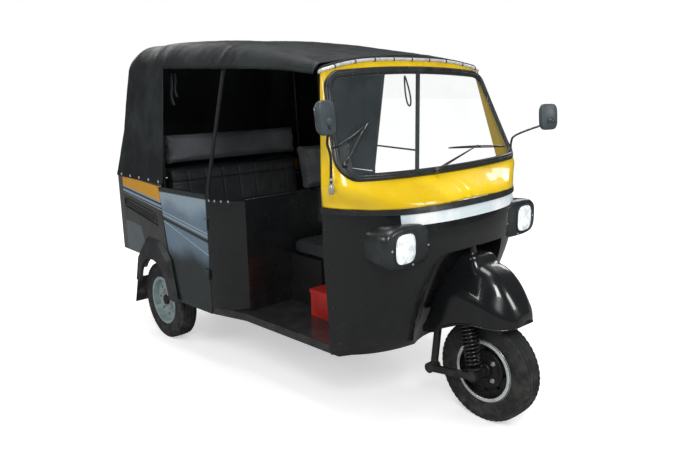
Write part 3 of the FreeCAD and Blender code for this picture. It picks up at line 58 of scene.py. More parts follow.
def behind(setback):
    """X of a place this far behind the front axle."""
    return front_axle_x - setback


# Objects

def new_object(name, verts, faces, smooth=True):
    """Mesh object from vertex and face lists."""
    mesh = bpy.data.meshes.new(name)
    mesh.from_pydata([tuple(v) for v in verts], [], [tuple(f) for f in faces])
    mesh.validate()
    mesh.update()
    obj = bpy.data.objects.new(name, mesh)
    bpy.context.scene.collection.objects.link(obj)
    if smooth:
        mesh.shade_smooth()
    return obj


def dress(obj, look, body="body", replaced=()):
    """Gives a piece its look and body, and hides the nodes it stands for."""
    obj.data.materials.clear()
    obj.data.materials.append(looks[look])
    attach(obj, body)
    if replaced:
        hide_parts(*replaced)
    return obj


def apply_modifiers(obj):
    """Applies every modifier of a mesh object."""
    depsgraph = bpy.context.evaluated_depsgraph_get()
    mesh = bpy.data.meshes.new_from_object(obj.evaluated_get(depsgraph))
    obj.modifiers.clear()
    obj.data = mesh


def thicken(obj, thickness, offset=-1.0):
    """Gives a sheet its thickness, inwards where the offset is -1."""
    solid = obj.modifiers.new("thickness", "SOLIDIFY")
    solid.thickness = thickness
    solid.offset = offset
    apply_modifiers(obj)
    obj.data.shade_smooth()


def turn_up(mesh):
    """Makes the normals of an edited mesh agree, with its top looking up."""
    bmesh.ops.recalc_face_normals(mesh, faces=mesh.faces)
    if max(mesh.faces, key=lambda face: face.calc_center_median().z).normal.z < 0:
        bmesh.ops.reverse_faces(mesh, faces=mesh.faces)


def place_points(obj, places):
    """Moves the vertices of a mesh object to new places."""
    obj.data.vertices.foreach_set("co", np.array(places).ravel())
    obj.data.update()


def joined(name, parts):
    """One object from several mesh objects."""
    verts, faces = [], []
    for part in parts:
        shift = len(verts)
        verts.extend(part.matrix_world @ v.co for v in part.data.vertices)
        faces.extend([i + shift for i in p.vertices] for p in part.data.polygons)
        bpy.data.objects.remove(part, do_unlink=True)
    return new_object(name, verts, faces)


def grid_faces(rows, columns, close_rows=False, close_columns=False):
    """Quads of a grid of points stored row after row."""
    faces = []
    for i in range(rows if close_rows else rows - 1):
        ahead = (i + 1) % rows * columns
        for j in range(columns if close_columns else columns - 1):
            k = (j + 1) % columns
            faces.append((i * columns + j, i * columns + k, ahead + k, ahead + j))
    return faces


def fan_faces(start, count, tip):
    """Triangles from a closed ring of points to a tip."""
    return [(start + k, start + (k + 1) % count, tip) for k in range(count)]


def travel(points):
    """Distance along a line to each of its points."""
    return np.concatenate([[0], np.cumsum(np.linalg.norm(np.diff(points, axis=0), axis=1))])


def spaced(points, count, closed=False):
    """The same line, or closed outline, with evenly spaced points."""
    line = np.vstack([points, points[:1]]) if closed else points
    along = travel(line)
    want = np.linspace(0, along[-1], count, endpoint=not closed)
    return np.stack([np.interp(want, along, column) for column in line.T], axis=1)


def smoothed(values, width):
    """Running mean that keeps straight ends straight."""
    head = 2 * values[0] - values[width:0:-1]
    tail = 2 * values[-1] - values[-2:-width - 2:-1]
    kernel = np.ones(2 * width + 1) / (2 * width + 1)
    return np.convolve(np.concatenate([head, values, tail]), kernel, "same")[width:-width]


def smooth_path(points, steps):
    """Points along a Catmull-Rom curve through the given points."""
    pts = [Vector(p) for p in points]
    pts = [2 * pts[0] - pts[1]] + pts + [2 * pts[-1] - pts[-2]]
    out = []
    for a, b, c, d in zip(pts, pts[1:], pts[2:], pts[3:]):
        for i in range(steps):
            t = i / steps
            out.append(0.5 * (2 * b + (c - a) * t + (2 * a - 5 * b + 4 * c - d) * t ** 2
                              + (3 * b - a - 3 * c + d) * t ** 3))
    out.append(pts[-2])
    return out


def tube(name, points, radius, sides=12, closed=False, radii=None):
    """Round tube along a list of points, with closed ends."""
    pts = [Vector(p) for p in points]
    count = len(pts)
    verts = []
    normal = None
    for i, p in enumerate(pts):
        ahead = pts[(i + 1) % count] if closed or i < count - 1 else p
        back = pts[i - 1] if closed or i > 0 else p
        tangent = (ahead - back).normalized()
        if normal is None:
            side = Vector((0, 0, 1)) if abs(tangent.z) < 0.9 else Vector((1, 0, 0))
            normal = tangent.cross(side).normalized()
        normal = (normal - tangent * normal.dot(tangent)).normalized()
        other = tangent.cross(normal)
        reach = radii[i] if radii else radius
        for k in range(sides):
            turn = 2 * math.pi * k / sides
            verts.append(p + normal * math.cos(turn) * reach + other * math.sin(turn) * reach)
    faces = grid_faces(count, sides, closed, True)
    if not closed:
        faces += [tuple(range(sides))[::-1], tuple(range((count - 1) * sides, count * sides))]
    return new_object(name, verts, faces)


def revolve(name, profile, centre, axis, steps=48, closed=False):
    """Surface turned about an axis through a centre: the profile is (along, radius) pairs."""
    along = Vector(axis).normalized()
    side = Vector((0, 0, 1)) if abs(along.z) < 0.9 else Vector((1, 0, 0))
    u = along.cross(side).normalized()
    v = along.cross(u)
    centre = Vector(centre)
    verts = []
    for i in range(steps):
        turn = 2 * math.pi * i / steps
        spoke = u * math.cos(turn) + v * math.sin(turn)
        verts.extend(centre + along * a + spoke * r for a, r in profile)
    return new_object(name, verts, grid_faces(steps, len(profile), True, closed))


def squared_ring(half_wide, half_high, power, count):
    """Rounded-rectangle outline as two-number points."""
    out = []
    for k in range(count):
        turn = 2 * math.pi * k / count
        c, s = math.cos(turn), math.sin(turn)
        out.append((math.copysign(abs(c) ** (2 / power), c) * half_wide,
                    math.copysign(abs(s) ** (2 / power), s) * half_high))
    return out


def squared_stack(name, centre, sections, power, count=96, cap=True):
    """Form from rounded-rectangle rings: each is (x, half width, half height) and maybe shifts of y and z."""
    verts = []
    for x, wide, high, *shift in sections:
        dy, dz = shift or (0, 0)
        verts.extend((centre[0] + x, centre[1] + dy + y, centre[2] + dz + z)
                     for y, z in squared_ring(wide, high, power, count))
    faces = grid_faces(len(sections), count, False, True)
    if cap:
        faces += [tuple(range(count))[::-1], tuple(range((len(sections) - 1) * count, len(sections) * count))]
    return new_object(name, verts, faces)


# Shader building

class Nodes:
    """A node tree that is built by short calls."""

    def __init__(self, tree):
        self.nodes = tree.nodes
        self.links = tree.links

    def node(self, kind, settings=(), **sockets):
        """A new node with its settings, and its sockets set or linked by name."""
        node = self.nodes.new("ShaderNode" + kind)
        for key, value in dict(settings).items():
            setattr(node, key, value)
        for key, value in sockets.items():
            self.feed(node.inputs[key.replace("_", " ")], value)
        return node

    def feed(self, socket, value):
        """Links an output to a socket, or sets the socket's value."""
        if isinstance(value, bpy.types.NodeSocket):
            self.links.new(value, socket)
        elif isinstance(value, (tuple, list)):
            socket.default_value = (*value, 1.0)
        else:
            socket.default_value = value

    def math(self, operation, a, b=0.0, c=0.0):
        node = self.node("Math", {"operation": operation})
        for socket, value in zip(node.inputs, (a, b, c)):
            self.feed(socket, value)
        return node.outputs["Value"]

    def range(self, source, low, high, to_low=0.0, to_high=1.0):
        """The source between two values, eased and mapped to two others."""
        return self.node("MapRange", {"interpolation_type": "SMOOTHSTEP"}, Value=source, From_Min=low,
                         From_Max=high, To_Min=to_low, To_Max=to_high).outputs["Result"]

    def mix(self, factor, a, b):
        node = self.node("Mix", {"data_type": "RGBA"})
        for socket, value in ((node.inputs[0], factor), (node.inputs[6], a), (node.inputs[7], b)):
            self.feed(socket, value)
        return node.outputs[2]


class Shader(Nodes):
    """A node material with one principled shader."""

    def __init__(self, name):
        self.material = bpy.data.materials.new(name)
        self.material.use_nodes = True
        super().__init__(self.material.node_tree)
        self.bsdf = self.nodes["Principled BSDF"]
        self.coords = self.node("TexCoord").outputs["Object"]

    def set(self, **values):
        for key, value in values.items():
            self.feed(self.bsdf.inputs[key.replace("_", " ")], value)

    def noise(self, scale, detail=4.0, roughness=0.5):
        return self.node("TexNoise", Vector=self.coords, Scale=scale, Detail=detail,
                         Roughness=roughness).outputs["Fac"]

    def voronoi(self, scale, feature="F1"):
        return self.node("TexVoronoi", {"feature": feature}, Vector=self.coords,
                         Scale=scale).outputs["Distance"]

    def wave(self, scale, direction, distortion=0.0):
        return self.node("TexWave", {"bands_direction": direction}, Vector=self.coords, Scale=scale,
                         Distortion=distortion).outputs["Fac"]

    def axis(self, name):
        return self.node("SeparateXYZ", Vector=self.coords).outputs[name]

    def drift(self, a, b, low, high, *grain):
        """Two tones mixed in patches of noise."""
        return self.mix(self.range(self.noise(*grain), low, high), a, b)

    def over_line(self, line, edge=0.0012):
        """1 above the straight line through two (setback, height) places, 0 below it."""
        (s1, z1), (s2, z2) = line
        slope = (z2 - z1) / (s2 - s1)
        height = self.math("MULTIPLY_ADD", self.axis("X"), slope, self.axis("Z"))
        cut = z1 + slope * (front_axle_x - s1)
        return self.range(height, cut - edge, cut + edge)

    def stripe(self, tone, colour, low, high):
        """The tone with a stripe between two lines."""
        inside = self.math("SUBTRACT", self.over_line(low), self.over_line(high))
        return self.mix(inside, tone, colour)

    def pinstripe(self, tone, colour, line, width):
        """The tone with a stripe of even width over a line."""
        (s1, z1), (s2, z2) = line
        return self.stripe(tone, colour, line, ((s1, z1 + width), (s2, z2 + width)))

    def dusted(self, colour, amount, height=0.75):
        """The colour with road dust that thickens towards the ground."""
        full_height, dust = 0.10, (0.16, 0.14, 0.11)
        low = self.range(self.axis("Z"), full_height, height, 1.0, 0.0)
        patches = self.range(self.noise(14.0, 6.0, 0.65), 0.42, 0.72)
        factor = self.math("MULTIPLY", self.math("MULTIPLY", low, patches), amount)
        return self.mix(factor, colour, dust)

    def finish(self, tone, rough, spread, grain, height, distance, strength, **values):
        """The material with its colour, relief and a roughness that drifts by the spread in grains."""
        worn = self.range(self.noise(grain, 5.0, 0.6), 0.3, 0.7, rough, rough + spread)
        relief = self.node("Bump", Distance=distance, Strength=strength, Height=height).outputs["Normal"]
        self.set(Base_Color=tone, Roughness=worn, Normal=relief, **values)
        return self.material


def shade(colour, factor, lift=0.0):
    """The colour made darker or lighter."""
    return tuple(min(1.0, c * factor + lift) for c in colour)


def coat(s, tone, rough, spread, flake, coat_weight, coat_rough):
    """Coated paint with its orange peel."""
    return s.finish(tone, rough, spread, 9.0, s.noise(160.0, 2.0), 0.0004, 0.25, Metallic=flake,
                    Coat_Weight=coat_weight, Coat_Roughness=coat_rough)


def paint(name, colour, rough, flake=0.0, dust=0.0, second=None):
    """Paint with slight tone drift, and dust low down."""
    s = Shader(name)
    tone = s.drift(shade(colour, 0.82), second or colour, 0.35, 0.65, 2.2, 3.0)
    return coat(s, s.dusted(tone, dust), rough, 0.16, flake, 0.85, 0.04)


def plastic(name, colour, rough, grain=420.0, dust=0.0):
    """Moulded plastic with a fine grain."""
    s = Shader(name)
    tone = s.drift(colour, shade(colour, 1.5, 0.006), 0.4, 0.7, 6.0, 4.0)
    return s.finish(s.dusted(tone, dust), rough, 0.2, 9.0, s.voronoi(grain), 0.0005, 0.4)


def rubber(name, colour, rough, dust):
    """Rubber, worn paler in patches."""
    s = Shader(name)
    tone = s.drift(colour, shade(colour, 1.9, 0.008), 0.45, 0.75, 22.0, 6.0, 0.7)
    return s.finish(s.dusted(tone, dust, 0.6), rough, 0.2, 20.0, s.noise(300.0, 3.0), 0.0006, 0.35)


def metal(name, colour, rough, metallic, dust):
    """Metal with tarnish in patches."""
    s = Shader(name)
    tone = s.drift(colour, shade(colour, 0.6), 0.45, 0.78, 18.0, 6.0, 0.65)
    return s.finish(s.dusted(tone, dust, 0.55), rough, 0.22, 26.0, s.noise(90.0, 4.0), 0.0005, 0.3,
                    Metallic=metallic)


def vinyl(name, colour):
    """Coated seat cloth with a leather grain."""
    s = Shader(name)
    cell_scale, crack_width = 520.0, 0.09
    tone = s.drift(colour, shade(colour, 1.35, 0.01), 0.35, 0.7, 5.0, 5.0, 0.6)
    cells = s.range(s.voronoi(cell_scale, "DISTANCE_TO_EDGE"), 0.0, crack_width)
    return s.finish(tone, 0.42, 0.18, 12.0, cells, 0.0006, 0.5)


def canvas(name, colour):
    """Coated canopy cloth: close weave, low sheen, paler folds."""
    s = Shader(name)
    thread_scale, thread_share = 900.0, 0.05
    tone = s.drift(colour, shade(colour, 1.8, 0.006), 0.38, 0.72, 3.5, 6.0, 0.65)
    weave = s.math("MULTIPLY", s.wave(thread_scale, "X"), s.wave(thread_scale, "Z"))
    height = s.math("MULTIPLY_ADD", weave, thread_share, s.noise(11.0, 6.0, 0.55))
    return s.finish(tone, 0.46, 0.22, 7.0, height, 0.006, 0.35, Specular_IOR_Level=0.34)


def clear_glass(name, colour, alpha):
    """Window glass as a thin clear sheet with smears."""
    s = Shader(name)
    smear = s.range(s.noise(4.0, 4.0, 0.7), 0.3, 0.8, alpha * 0.7, alpha * 1.4)
    s.set(Alpha=smear, Base_Color=colour, Roughness=0.04, IOR=1.45)
    return s.material


def fluted_lens(name):
    """Lit lamp glass with upright flutes and a hot middle."""
    s = Shader(name)
    flutes = s.wave(26.0, "Y", 1.5)
    glow = s.range(s.noise(30.0, 3.0), 0.35, 0.65, 0.12, 0.55)
    relief = s.node("Bump", Distance=0.002, Strength=0.6, Height=flutes).outputs["Normal"]
    s.set(Base_Color=s.mix(flutes, (0.62, 0.70, 0.72), (0.92, 0.95, 0.96)), Roughness=0.08, Coat_Weight=0.6,
          Emission_Color=(0.94, 0.98, 1.0), Emission_Strength=glow, Normal=relief)
    return s.material


def door_paint_and_painted_sheen(name):
    """Door paint: pale silver blue above that fades to dark grey, with a few thin lines, and a painted white
    sheen near its top.
    """
    s = Shader(name)
    dark, pale, white = (0.022, 0.032, 0.035), (0.17, 0.25, 0.33), (0.50, 0.62, 0.70)
    front, rear, rim, blur = 1.52, 2.06, 1.047, 0.004
    thin, broad = 0.0045, 0.022
    # Heights blurred by noise, so that both fades have cloudy edges
    cloudy = s.math("MULTIPLY_ADD", s.noise(4.0, 4.0, 0.55), 0.20, s.axis("Z"))
    glow = s.math("MULTIPLY_ADD", s.noise(3.0, 3.0, 0.5), 0.30, s.axis("Z"))
    tone = s.mix(s.range(cloudy, 0.70, 0.86), dark, pale)
    # Painted reflection: the top of the door is mixed up to about half white, with a cloudy lower edge
    tone = s.mix(s.range(glow, 1.06, 1.18, 0.0, 0.55), tone, white)
    for low, high in ((0.835, 0.925), (0.815, 0.905), (0.700, 0.870)):
        tone = s.pinstripe(tone, white, ((front, low), (rear, high)), thin)
    tone = s.pinstripe(tone, dark, ((front, 0.780), (rear, 0.872)), broad)
    tone = s.mix(s.over_line(((front, rim), (rear, rim)), blur), tone, dark)
    return coat(s, s.dusted(tone, 0.2), 0.26, 0.14, 0.3, 0.9, 0.05)


def quarter_finish(name):
    """Rear side paint: an orange stripe under the hem, thin silver lines below it and a paler foot."""
    s = Shader(name)
    dark, pale, silver = (0.046, 0.052, 0.046), (0.11, 0.135, 0.145), (0.33, 0.44, 0.55)
    orange, ink = (0.86, 0.40, 0.012), (0.030, 0.040, 0.050)
    tone = s.drift(tuple(c * 0.75 for c in dark), dark, 0.35, 0.65, 2.6, 3.0)
    stripe_top, stripe_foot = ((2.069, 1.080), (2.609, 1.106)), ((2.052, 0.985), (2.611, 1.035))
    band_foot = ((2.040, 0.925), (2.620, 0.985))
    tone = s.stripe(tone, silver, band_foot, stripe_foot)
    for foot, width in ((0.932, 0.010), (0.958, 0.014)):
        tone = s.pinstripe(tone, ink, ((2.040, foot), (2.620, foot + 0.055)), width)
    tone = s.stripe(tone, orange, stripe_foot, stripe_top)
    # The pale foot lies behind a leaning edge and below a line
    lean, edge_setback, edge_level, blur = 0.42, 2.360, 0.325, 0.004
    edge = behind(edge_setback) + edge_level
    rear = s.range(s.math("MULTIPLY_ADD", s.axis("Z"), lean, s.axis("X")), edge + blur, edge - blur)
    below = s.math("SUBTRACT", 1.0, s.over_line(((2.359, 0.773), (2.721, 0.793))))
    tone = s.mix(s.math("MULTIPLY", rear, below), tone, pale)
    return coat(s, s.dusted(tone, 0.2), 0.26, 0.16, 0.3, 0.85, 0.05)


# Each look: how it is made, then its colour and values
recipes = {
    "yellow_paint": (paint, (0.95, 0.62, 0.003), 0.24, 0.0, 0.0, (0.98, 0.67, 0.004)),
    "gloss_black": (paint, (0.010, 0.011, 0.012), 0.16, 0.0, 0.10),
    "black_steel": (paint, (0.014, 0.014, 0.015), 0.34, 0.0, 0.25),
    "spring_black": (paint, (0.012, 0.012, 0.013), 0.28, 0.0, 0.2),
    "rear_paint": (paint, (0.085, 0.095, 0.10), 0.28, 0.35, 0.2),
    "floor_paint": (paint, (0.020, 0.022, 0.024), 0.45, 0.0, 0.3),
    "door_paint": (door_paint_and_painted_sheen,),
    "quarter_paint": (quarter_finish,),
    "black_plastic": (plastic, (0.020, 0.021, 0.023), 0.45, 420.0, 0.3),
    "smoked_plastic": (plastic, (0.020, 0.024, 0.026), 0.16, 60.0),
    "red_plastic": (plastic, (0.42, 0.015, 0.010), 0.38, 420.0, 0.3),
    "mirror_plastic": (plastic, (0.045, 0.062, 0.072), 0.3, 500.0),
    "white_strip": (plastic, (0.70, 0.80, 0.83), 0.30, 300.0),
    "red_lens": (plastic, (0.38, 0.006, 0.006), 0.12, 90.0),
    "seal_rubber": (rubber, (0.016, 0.019, 0.020), 0.26, 0.0),
    "moulding_rubber": (rubber, (0.018, 0.020, 0.021), 0.30, 0.0),
    "flap_rubber": (rubber, (0.012, 0.012, 0.013), 0.55, 0.5),
    "tyre_rubber": (rubber, (0.016, 0.017, 0.018), 0.6, 0.35),
    "silver_rim": (metal, (0.36, 0.45, 0.46), 0.3, 0.35, 0.2),
    "black_rim": (metal, (0.016, 0.016, 0.018), 0.2, 0.2, 0.15),
    "bright_trim": (metal, (0.74, 0.78, 0.79), 0.16, 0.4, 0.0),
    "bright_steel": (metal, (0.50, 0.51, 0.50), 0.24, 0.45, 0.2),
    "mirror_silver": (metal, (0.75, 0.78, 0.80), 0.04, 0.95, 0.0),
    "hub_metal": (metal, (0.030, 0.030, 0.032), 0.3, 0.5, 0.25),
    "engine_metal": (metal, (0.22, 0.22, 0.21), 0.5, 0.6, 0.4),
    "exhaust_steel": (metal, (0.24, 0.20, 0.17), 0.45, 0.8, 0.4),
    "bead_white": (metal, (0.78, 0.80, 0.80), 0.2, 0.35, 0.0),
    "seat_vinyl": (vinyl, (0.020, 0.022, 0.025)),
    "headrest_vinyl": (vinyl, (0.10, 0.11, 0.12)),
    "canopy_cloth": (canvas, (0.011, 0.014, 0.015)),
    "flap_cloth": (canvas, (0.030, 0.038, 0.040)),
    "window_glass": (clear_glass, (0.36, 0.44, 0.46), 0.10),
    "lamp_glass": (fluted_lens,),
}
looks = {name: maker(name, *values) for name, (maker, *values) in recipes.items()}

# Record slots and nodes whose look has another name
slot_looks = {"gloss_black_paint": "gloss_black", "grey_moulding": "moulding_rubber",
              "seat_box_paint": "black_steel", "canopy_fabric": "canopy_cloth", "spring_paint": "black_steel"}
node_looks = {"partition": "gloss_black", "door_right": "door_paint", "door_left": "door_paint",
              "quarter_panels": "quarter_paint"}
for entry in frame["record"]["subparts"]:
    slot = entry["material_slot"]
    materials = frame["nodes"][entry["node"]].data.materials
    materials.clear()
    materials.append(looks[node_looks.get(entry["node"]) or slot_looks.get(slot, slot)])


# Soft roof: setbacks are distances behind the front axle

canopy_thickness = 0.003
canopy_front = 0.583
canopy_pod = 1.968
canopy_round = 2.05
canopy_tail = 2.7226
canopy_hem = 1.096
canopy_bend = 1.113
canopy_heart = 1.45
roof_height = 2.010
rear_half = 0.742
skirt_half = 0.7484
canopy_hoops = (0.583, 1.342, 2.085, 2.380)
post_seam = canopy_hoops[1]
eaves_radius = 0.135
skirt_radius = 0.061
radius_growth = 0.25
crown_power = 1.7
tail_lean = 0.96
# Each row: distance from the front edge to the tail, half width share, foot, shoulder and crown shares
canopy_rows = np.array([
    (0.000, 0.848, 0.8680, 0.8905, 0.9154),
    (0.102, 0.862, 0.8806, 0.9204, 0.9330),
    (0.200, 0.874, 0.8866, 0.9380, 0.9510),
    (0.420, 0.892, 0.8940, 0.9627, 0.9810),
    (0.660, 0.912, 0.9015, 0.9740, 0.9980),
    (1.000, 0.905, 0.9015, 0.9750, 1.0000),
])
roof_setbacks = np.linspace(canopy_front, canopy_tail, 400)
roof_shares = (roof_setbacks - canopy_front) / (canopy_tail - canopy_front)
roof_table = [smoothed(np.interp(roof_shares, canopy_rows[:, 0], canopy_rows[:, k]), 18) for k in range(1, 5)]
# The tail's outline: heights and setbacks
tail_line = ((canopy_bend, 1.830, 2.013), (canopy_tail, 2.570, 2.440))
tail_heights = np.linspace(1.0, 2.1, 300)
tail_setbacks = smoothed(np.interp(tail_heights, *tail_line), 14)


def roof_at(setback):
    """Half width, foot, shoulder and crown of the roof at a setback."""
    half, foot, shoulder, crown = [np.interp(setback, roof_setbacks, row) for row in roof_table]
    return half * rear_half, foot * roof_height, shoulder * roof_height, crown * roof_height


def canopy_level(x, y, z):
    """Signed distance, roughly, outside the canopy's outer face."""
    setback = front_axle_x - x
    half, foot, shoulder, crown = roof_at(setback)
    slope = (skirt_half - half) / (shoulder - canopy_bend)
    wall = half + np.clip(shoulder - z, 0, shoulder - canopy_bend) * np.clip(slope, 0, 0.1)
    side = np.abs(y) - wall
    rear = (setback - np.interp(z, tail_heights, tail_setbacks)) * tail_lean
    top = z - (crown - (crown - shoulder) * np.clip(np.abs(y) / half, 0, 1.2) ** crown_power)
    highest = np.minimum(eaves_radius, (shoulder - foot) * 1.02)
    radius = np.minimum(highest, skirt_radius + np.clip(z - canopy_bend, 0, 1) * radius_growth)
    inner = np.minimum(np.maximum(np.maximum(side, rear), top) + radius, 0)
    a, b, c = [np.maximum(face + radius, 0) for face in (side, rear, top)]
    return inner + np.sqrt(a * a + b * b + c * c) - radius


def cast(origin, direction):
    """Points where rays from the origin leave the canopy's shape, by halving."""
    farthest, halvings = 1.7, 34
    low = np.zeros(len(direction))
    high = np.full(len(direction), farthest)
    for _ in range(halvings):
        middle = (low + high) / 2
        out = canopy_level(*(origin + direction * middle[:, None]).T) > 0
        high = np.where(out, middle, high)
        low = np.where(out, low, middle)
    return origin + direction * low[:, None]


def canopy_station(x, turn, has_wall, rows=40):
    """One line up the canopy: its wall points from the hem, if any, then the roof's to the middle."""
    theta = np.radians(np.linspace(-60, 90, 700))
    rays = np.stack([np.cos(theta) * math.cos(turn), np.cos(theta) * math.sin(turn), np.sin(theta)], axis=1)
    points = cast(np.array([x, 0.0, canopy_heart]), rays)
    foot = roof_at(np.clip(front_axle_x - points[:, 0], canopy_front, canopy_tail))[1]
    start = int(np.argmax(points[:, 2] >= foot))
    first = int(np.argmax(points[:, 2] >= canopy_hem))
    wall = spaced(points[first:start + 1], rows + 1)[:-1] if has_wall else points[:0]
    return wall, spaced(points[start:], rows)


def fold_noise(point, scale, stretch=(1, 1, 1), seed=0.0):
    """Smooth noise in space, stretched along the axes and shifted by a seed."""
    x, y, z = [place * scale * pull for place, pull in zip(point, stretch)]
    return noise.noise(Vector((x + seed, y + seed * 0.7, z - seed)))


def ridge(distance, width):
    """A soft raised band of a seam."""
    return math.exp(-(distance / width) ** 2)


def canopy_offset(point, normal, on_wall):
    """How far the cloth stands out from its plain shape, in metres."""
    setback = front_axle_x - point[0]
    z = point[2]
    up = max(normal[2], 0.0)
    side = 1.0 - up
    sag, hoop_height, hoop_width = 0.0075, 0.0022, 0.018
    move = 0.0
    for a, b in zip(canopy_hoops, canopy_hoops[1:]):
        if a < setback < b:
            move -= sag * math.sin(math.pi * (setback - a) / (b - a)) ** 2 * up
    for hoop in canopy_hoops[1:]:
        move += hoop_height * ridge(setback - hoop, hoop_width) * (0.4 + 0.6 * up)
    # Slack folds hang down the quarters, and finer ones lie everywhere
    move += 0.0040 * fold_noise(point, 3.2, (1.6, 1.6, 0.45), 3.1) * side
    move += 0.0022 * fold_noise(point, 9.0, (1.5, 1.5, 0.5), 7.7)
    move += 0.0012 * fold_noise(point, 24.0, (1.0, 1.0, 0.7), 12.0)
    if on_wall:
        crease = math.sin((z * 0.8 + setback * 1.9) * 22.0 + 2.5 * fold_noise(point, 4.0, seed=5.0))
        move += 0.0016 * crease * max(0.0, fold_noise(point, 2.4, seed=9.0) + 0.2)
    else:
        sway = math.sin(setback * 16.0 + 3.0 * fold_noise(point, 2.0, seed=21.0))
        move += 0.0014 * sway * (0.3 + side)
    # Hems and the seam over the door post: where each lies, and how far it stands out
    hem = 0.034
    for inside, rise in ((canopy_pod - 0.01 < setback and z < canopy_hem + hem, 0.0022),
                         (setback < canopy_front + hem, 0.0020),
                         (setback < canopy_pod and z < roof_at(setback)[1] + 0.030, 0.0020),
                         (abs(setback - post_seam) < 0.0045, 0.0016)):
        move += rise * inside
    return move


def canopy_stations():
    """Where each line of the sheet starts, which way it looks and whether it has a wall."""
    front_lines, pod_lines, rear_lines, hem_rays, hem_dip = 84, 6, 150, 721, -0.52
    fan_x = behind(canopy_round)
    turns = np.linspace(-math.pi / 2, -math.pi * 1.5, hem_rays)
    rays = np.stack([np.cos(turns), np.sin(turns), np.full(hem_rays, hem_dip)], axis=1)
    rays /= np.linalg.norm(rays, axis=1)[:, None]
    along = travel(cast(np.array([fan_x, 0.0, canopy_heart]), rays)[:, :2])
    # Even steps round the hem of the rear
    rear_turns = np.interp(np.linspace(0, along[-1], rear_lines), along, turns)
    front = np.linspace(canopy_front, canopy_pod, front_lines)
    pod = np.linspace(canopy_pod, canopy_round, pod_lines)
    right = [(behind(s), -math.pi / 2, False) for s in front[:-1]]
    right += [(behind(s), -math.pi / 2, True) for s in pod]
    rear = [(fan_x, turn, True) for turn in rear_turns[1:-1]]
    return right + rear + [(x, -turn, has_wall) for x, turn, has_wall in right[::-1]]


def canopy_sheet():
    """The whole soft roof as one sheet: roof, rounded tail and rear quarters."""
    verts, on_wall, lines, faces = [], [], [], []
    for station in canopy_stations():
        wall, roof = canopy_station(*station)
        start = len(verts)
        verts.extend([*wall, *roof])
        on_wall += [1] * len(wall) + [0] * len(roof)
        lines.append((range(start, start + len(wall)), range(start + len(wall), len(verts))))
    for (wall_a, roof_a), (wall_b, roof_b) in zip(lines, lines[1:]):
        faces.extend(zip(roof_a, roof_b, roof_b[1:], roof_a[1:]))
        if wall_a and wall_b:
            left, right = [*wall_a, roof_a[0]], [*wall_b, roof_b[0]]
            faces.extend(zip(left, right, right[1:], left[1:]))
    sheet = new_object("canopy_sheet", verts, faces)
    mesh = bmesh.new()
    mesh.from_mesh(sheet.data)
    flags = mesh.verts.layers.int.new("wall")
    for vert, flag in zip(mesh.verts, on_wall):
        vert[flags] = flag
    bmesh.ops.remove_doubles(mesh, verts=mesh.verts, dist=0.0008)
    turn_up(mesh)
    mesh.normal_update()
    moves = [(vert, vert.normal * canopy_offset(vert.co, vert.normal, vert[flags])) for vert in mesh.verts]
    for vert, move in moves:
        vert.co += move
    area = sum(face.calc_area() for face in mesh.faces)
    mesh.to_mesh(sheet.data)
    mesh.free()
    thicken(sheet, canopy_thickness)
    dress(sheet, "canopy_cloth", replaced=["canopy"])


def curtain_sheet():
    """The curtain let down on the left side, with soft upright folds."""
    columns, rows = 90, 60
    foot_z, foot_y, rear_edge, front_foot, front_head = 1.083, 0.697, 1.9620, 1.5356, 1.3780
    fold_depth, under_roof, inside_roof = 0.006, 0.004, 0.003
    verts = []
    for i in range(columns):
        u = i / (columns - 1)
        foot_setback = front_foot + (rear_edge - front_foot) * u
        head_setback = front_head + (rear_edge - front_head) * u
        half, foot, _, _ = roof_at(head_setback)
        head_y, head_z = half - inside_roof, foot - under_roof
        for j in range(rows):
            v = j / (rows - 1)
            x = behind(foot_setback + (head_setback - foot_setback) * v)
            y = foot_y + (head_y - foot_y) * v
            z = foot_z + (head_z - foot_z) * v
            slack = math.sin(math.pi * v) * math.sin(math.pi * u)
            wave = 0.5 * math.sin(u * 26.0 + 1.3 * math.sin(v * 3.0))
            wave += fold_noise((x, y, z), 7.0, (1.6, 1, 0.4), 2.0)
            verts.append((x, y - fold_depth * slack * (wave + 0.4) - 0.001, z))
    sheet = new_object("side_curtain_sheet", verts, grid_faces(columns, rows))
    thicken(sheet, 0.002, 0.0)
    dress(sheet, "canopy_cloth", replaced=["side_curtain"])


# Wheels

wheels = (
    ("front", "front_tyre", "front_rim", "front_wheel", -1),
    ("rear_right", "rear_tyre_right", "rear_rim_right", "rear_wheel_right", -1),
    ("rear_left", "rear_tyre_left", "rear_rim_left", "rear_wheel_left", 1),
)


def wheel_centre(node):
    return Vector([(low + high) / 2 for low, high in zip(*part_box(node))])


def tyre_profile():
    """Outline of the tyre across its width: (along the axle, radius), grooves cut in a flat tread."""
    half, bead, crown = 0.062, 0.0500, wheel_radius
    flat, drop_at_edge = 0.0505, 0.0022
    side = [(bead - 0.004, 0.1525), (bead, 0.1560), (bead + 0.003, 0.1650), (bead + 0.0075, 0.1760),
            (half - 0.0030, 0.1880), (half - 0.0004, 0.2020), (half, 0.2140),
            (half - 0.0016, 0.2260), (half - 0.0012, 0.2270), (half - 0.0024, 0.2300),
            (half - 0.0045, 0.2420), (half - 0.0060, 0.2520), (half - 0.0078, 0.2595),
            (0.0525, crown - 0.0032), (flat, crown - drop_at_edge)]
    width, depth = 0.0028, 0.0065
    groove = ((-width - 0.0012, 0.0), (-width, 0.0010), (-width * 0.7, depth), (width * 0.7, depth),
              (width, 0.0010), (width + 0.0012, 0.0))
    tread = []
    for middle in (-0.036, -0.0125, 0.0125, 0.036):
        for step, drop in groove:
            along = middle + step
            tread.append((along, crown - drop_at_edge * (along / flat) ** 2 - drop))
    return [(-a, r) for a, r in side] + tread + side[::-1]


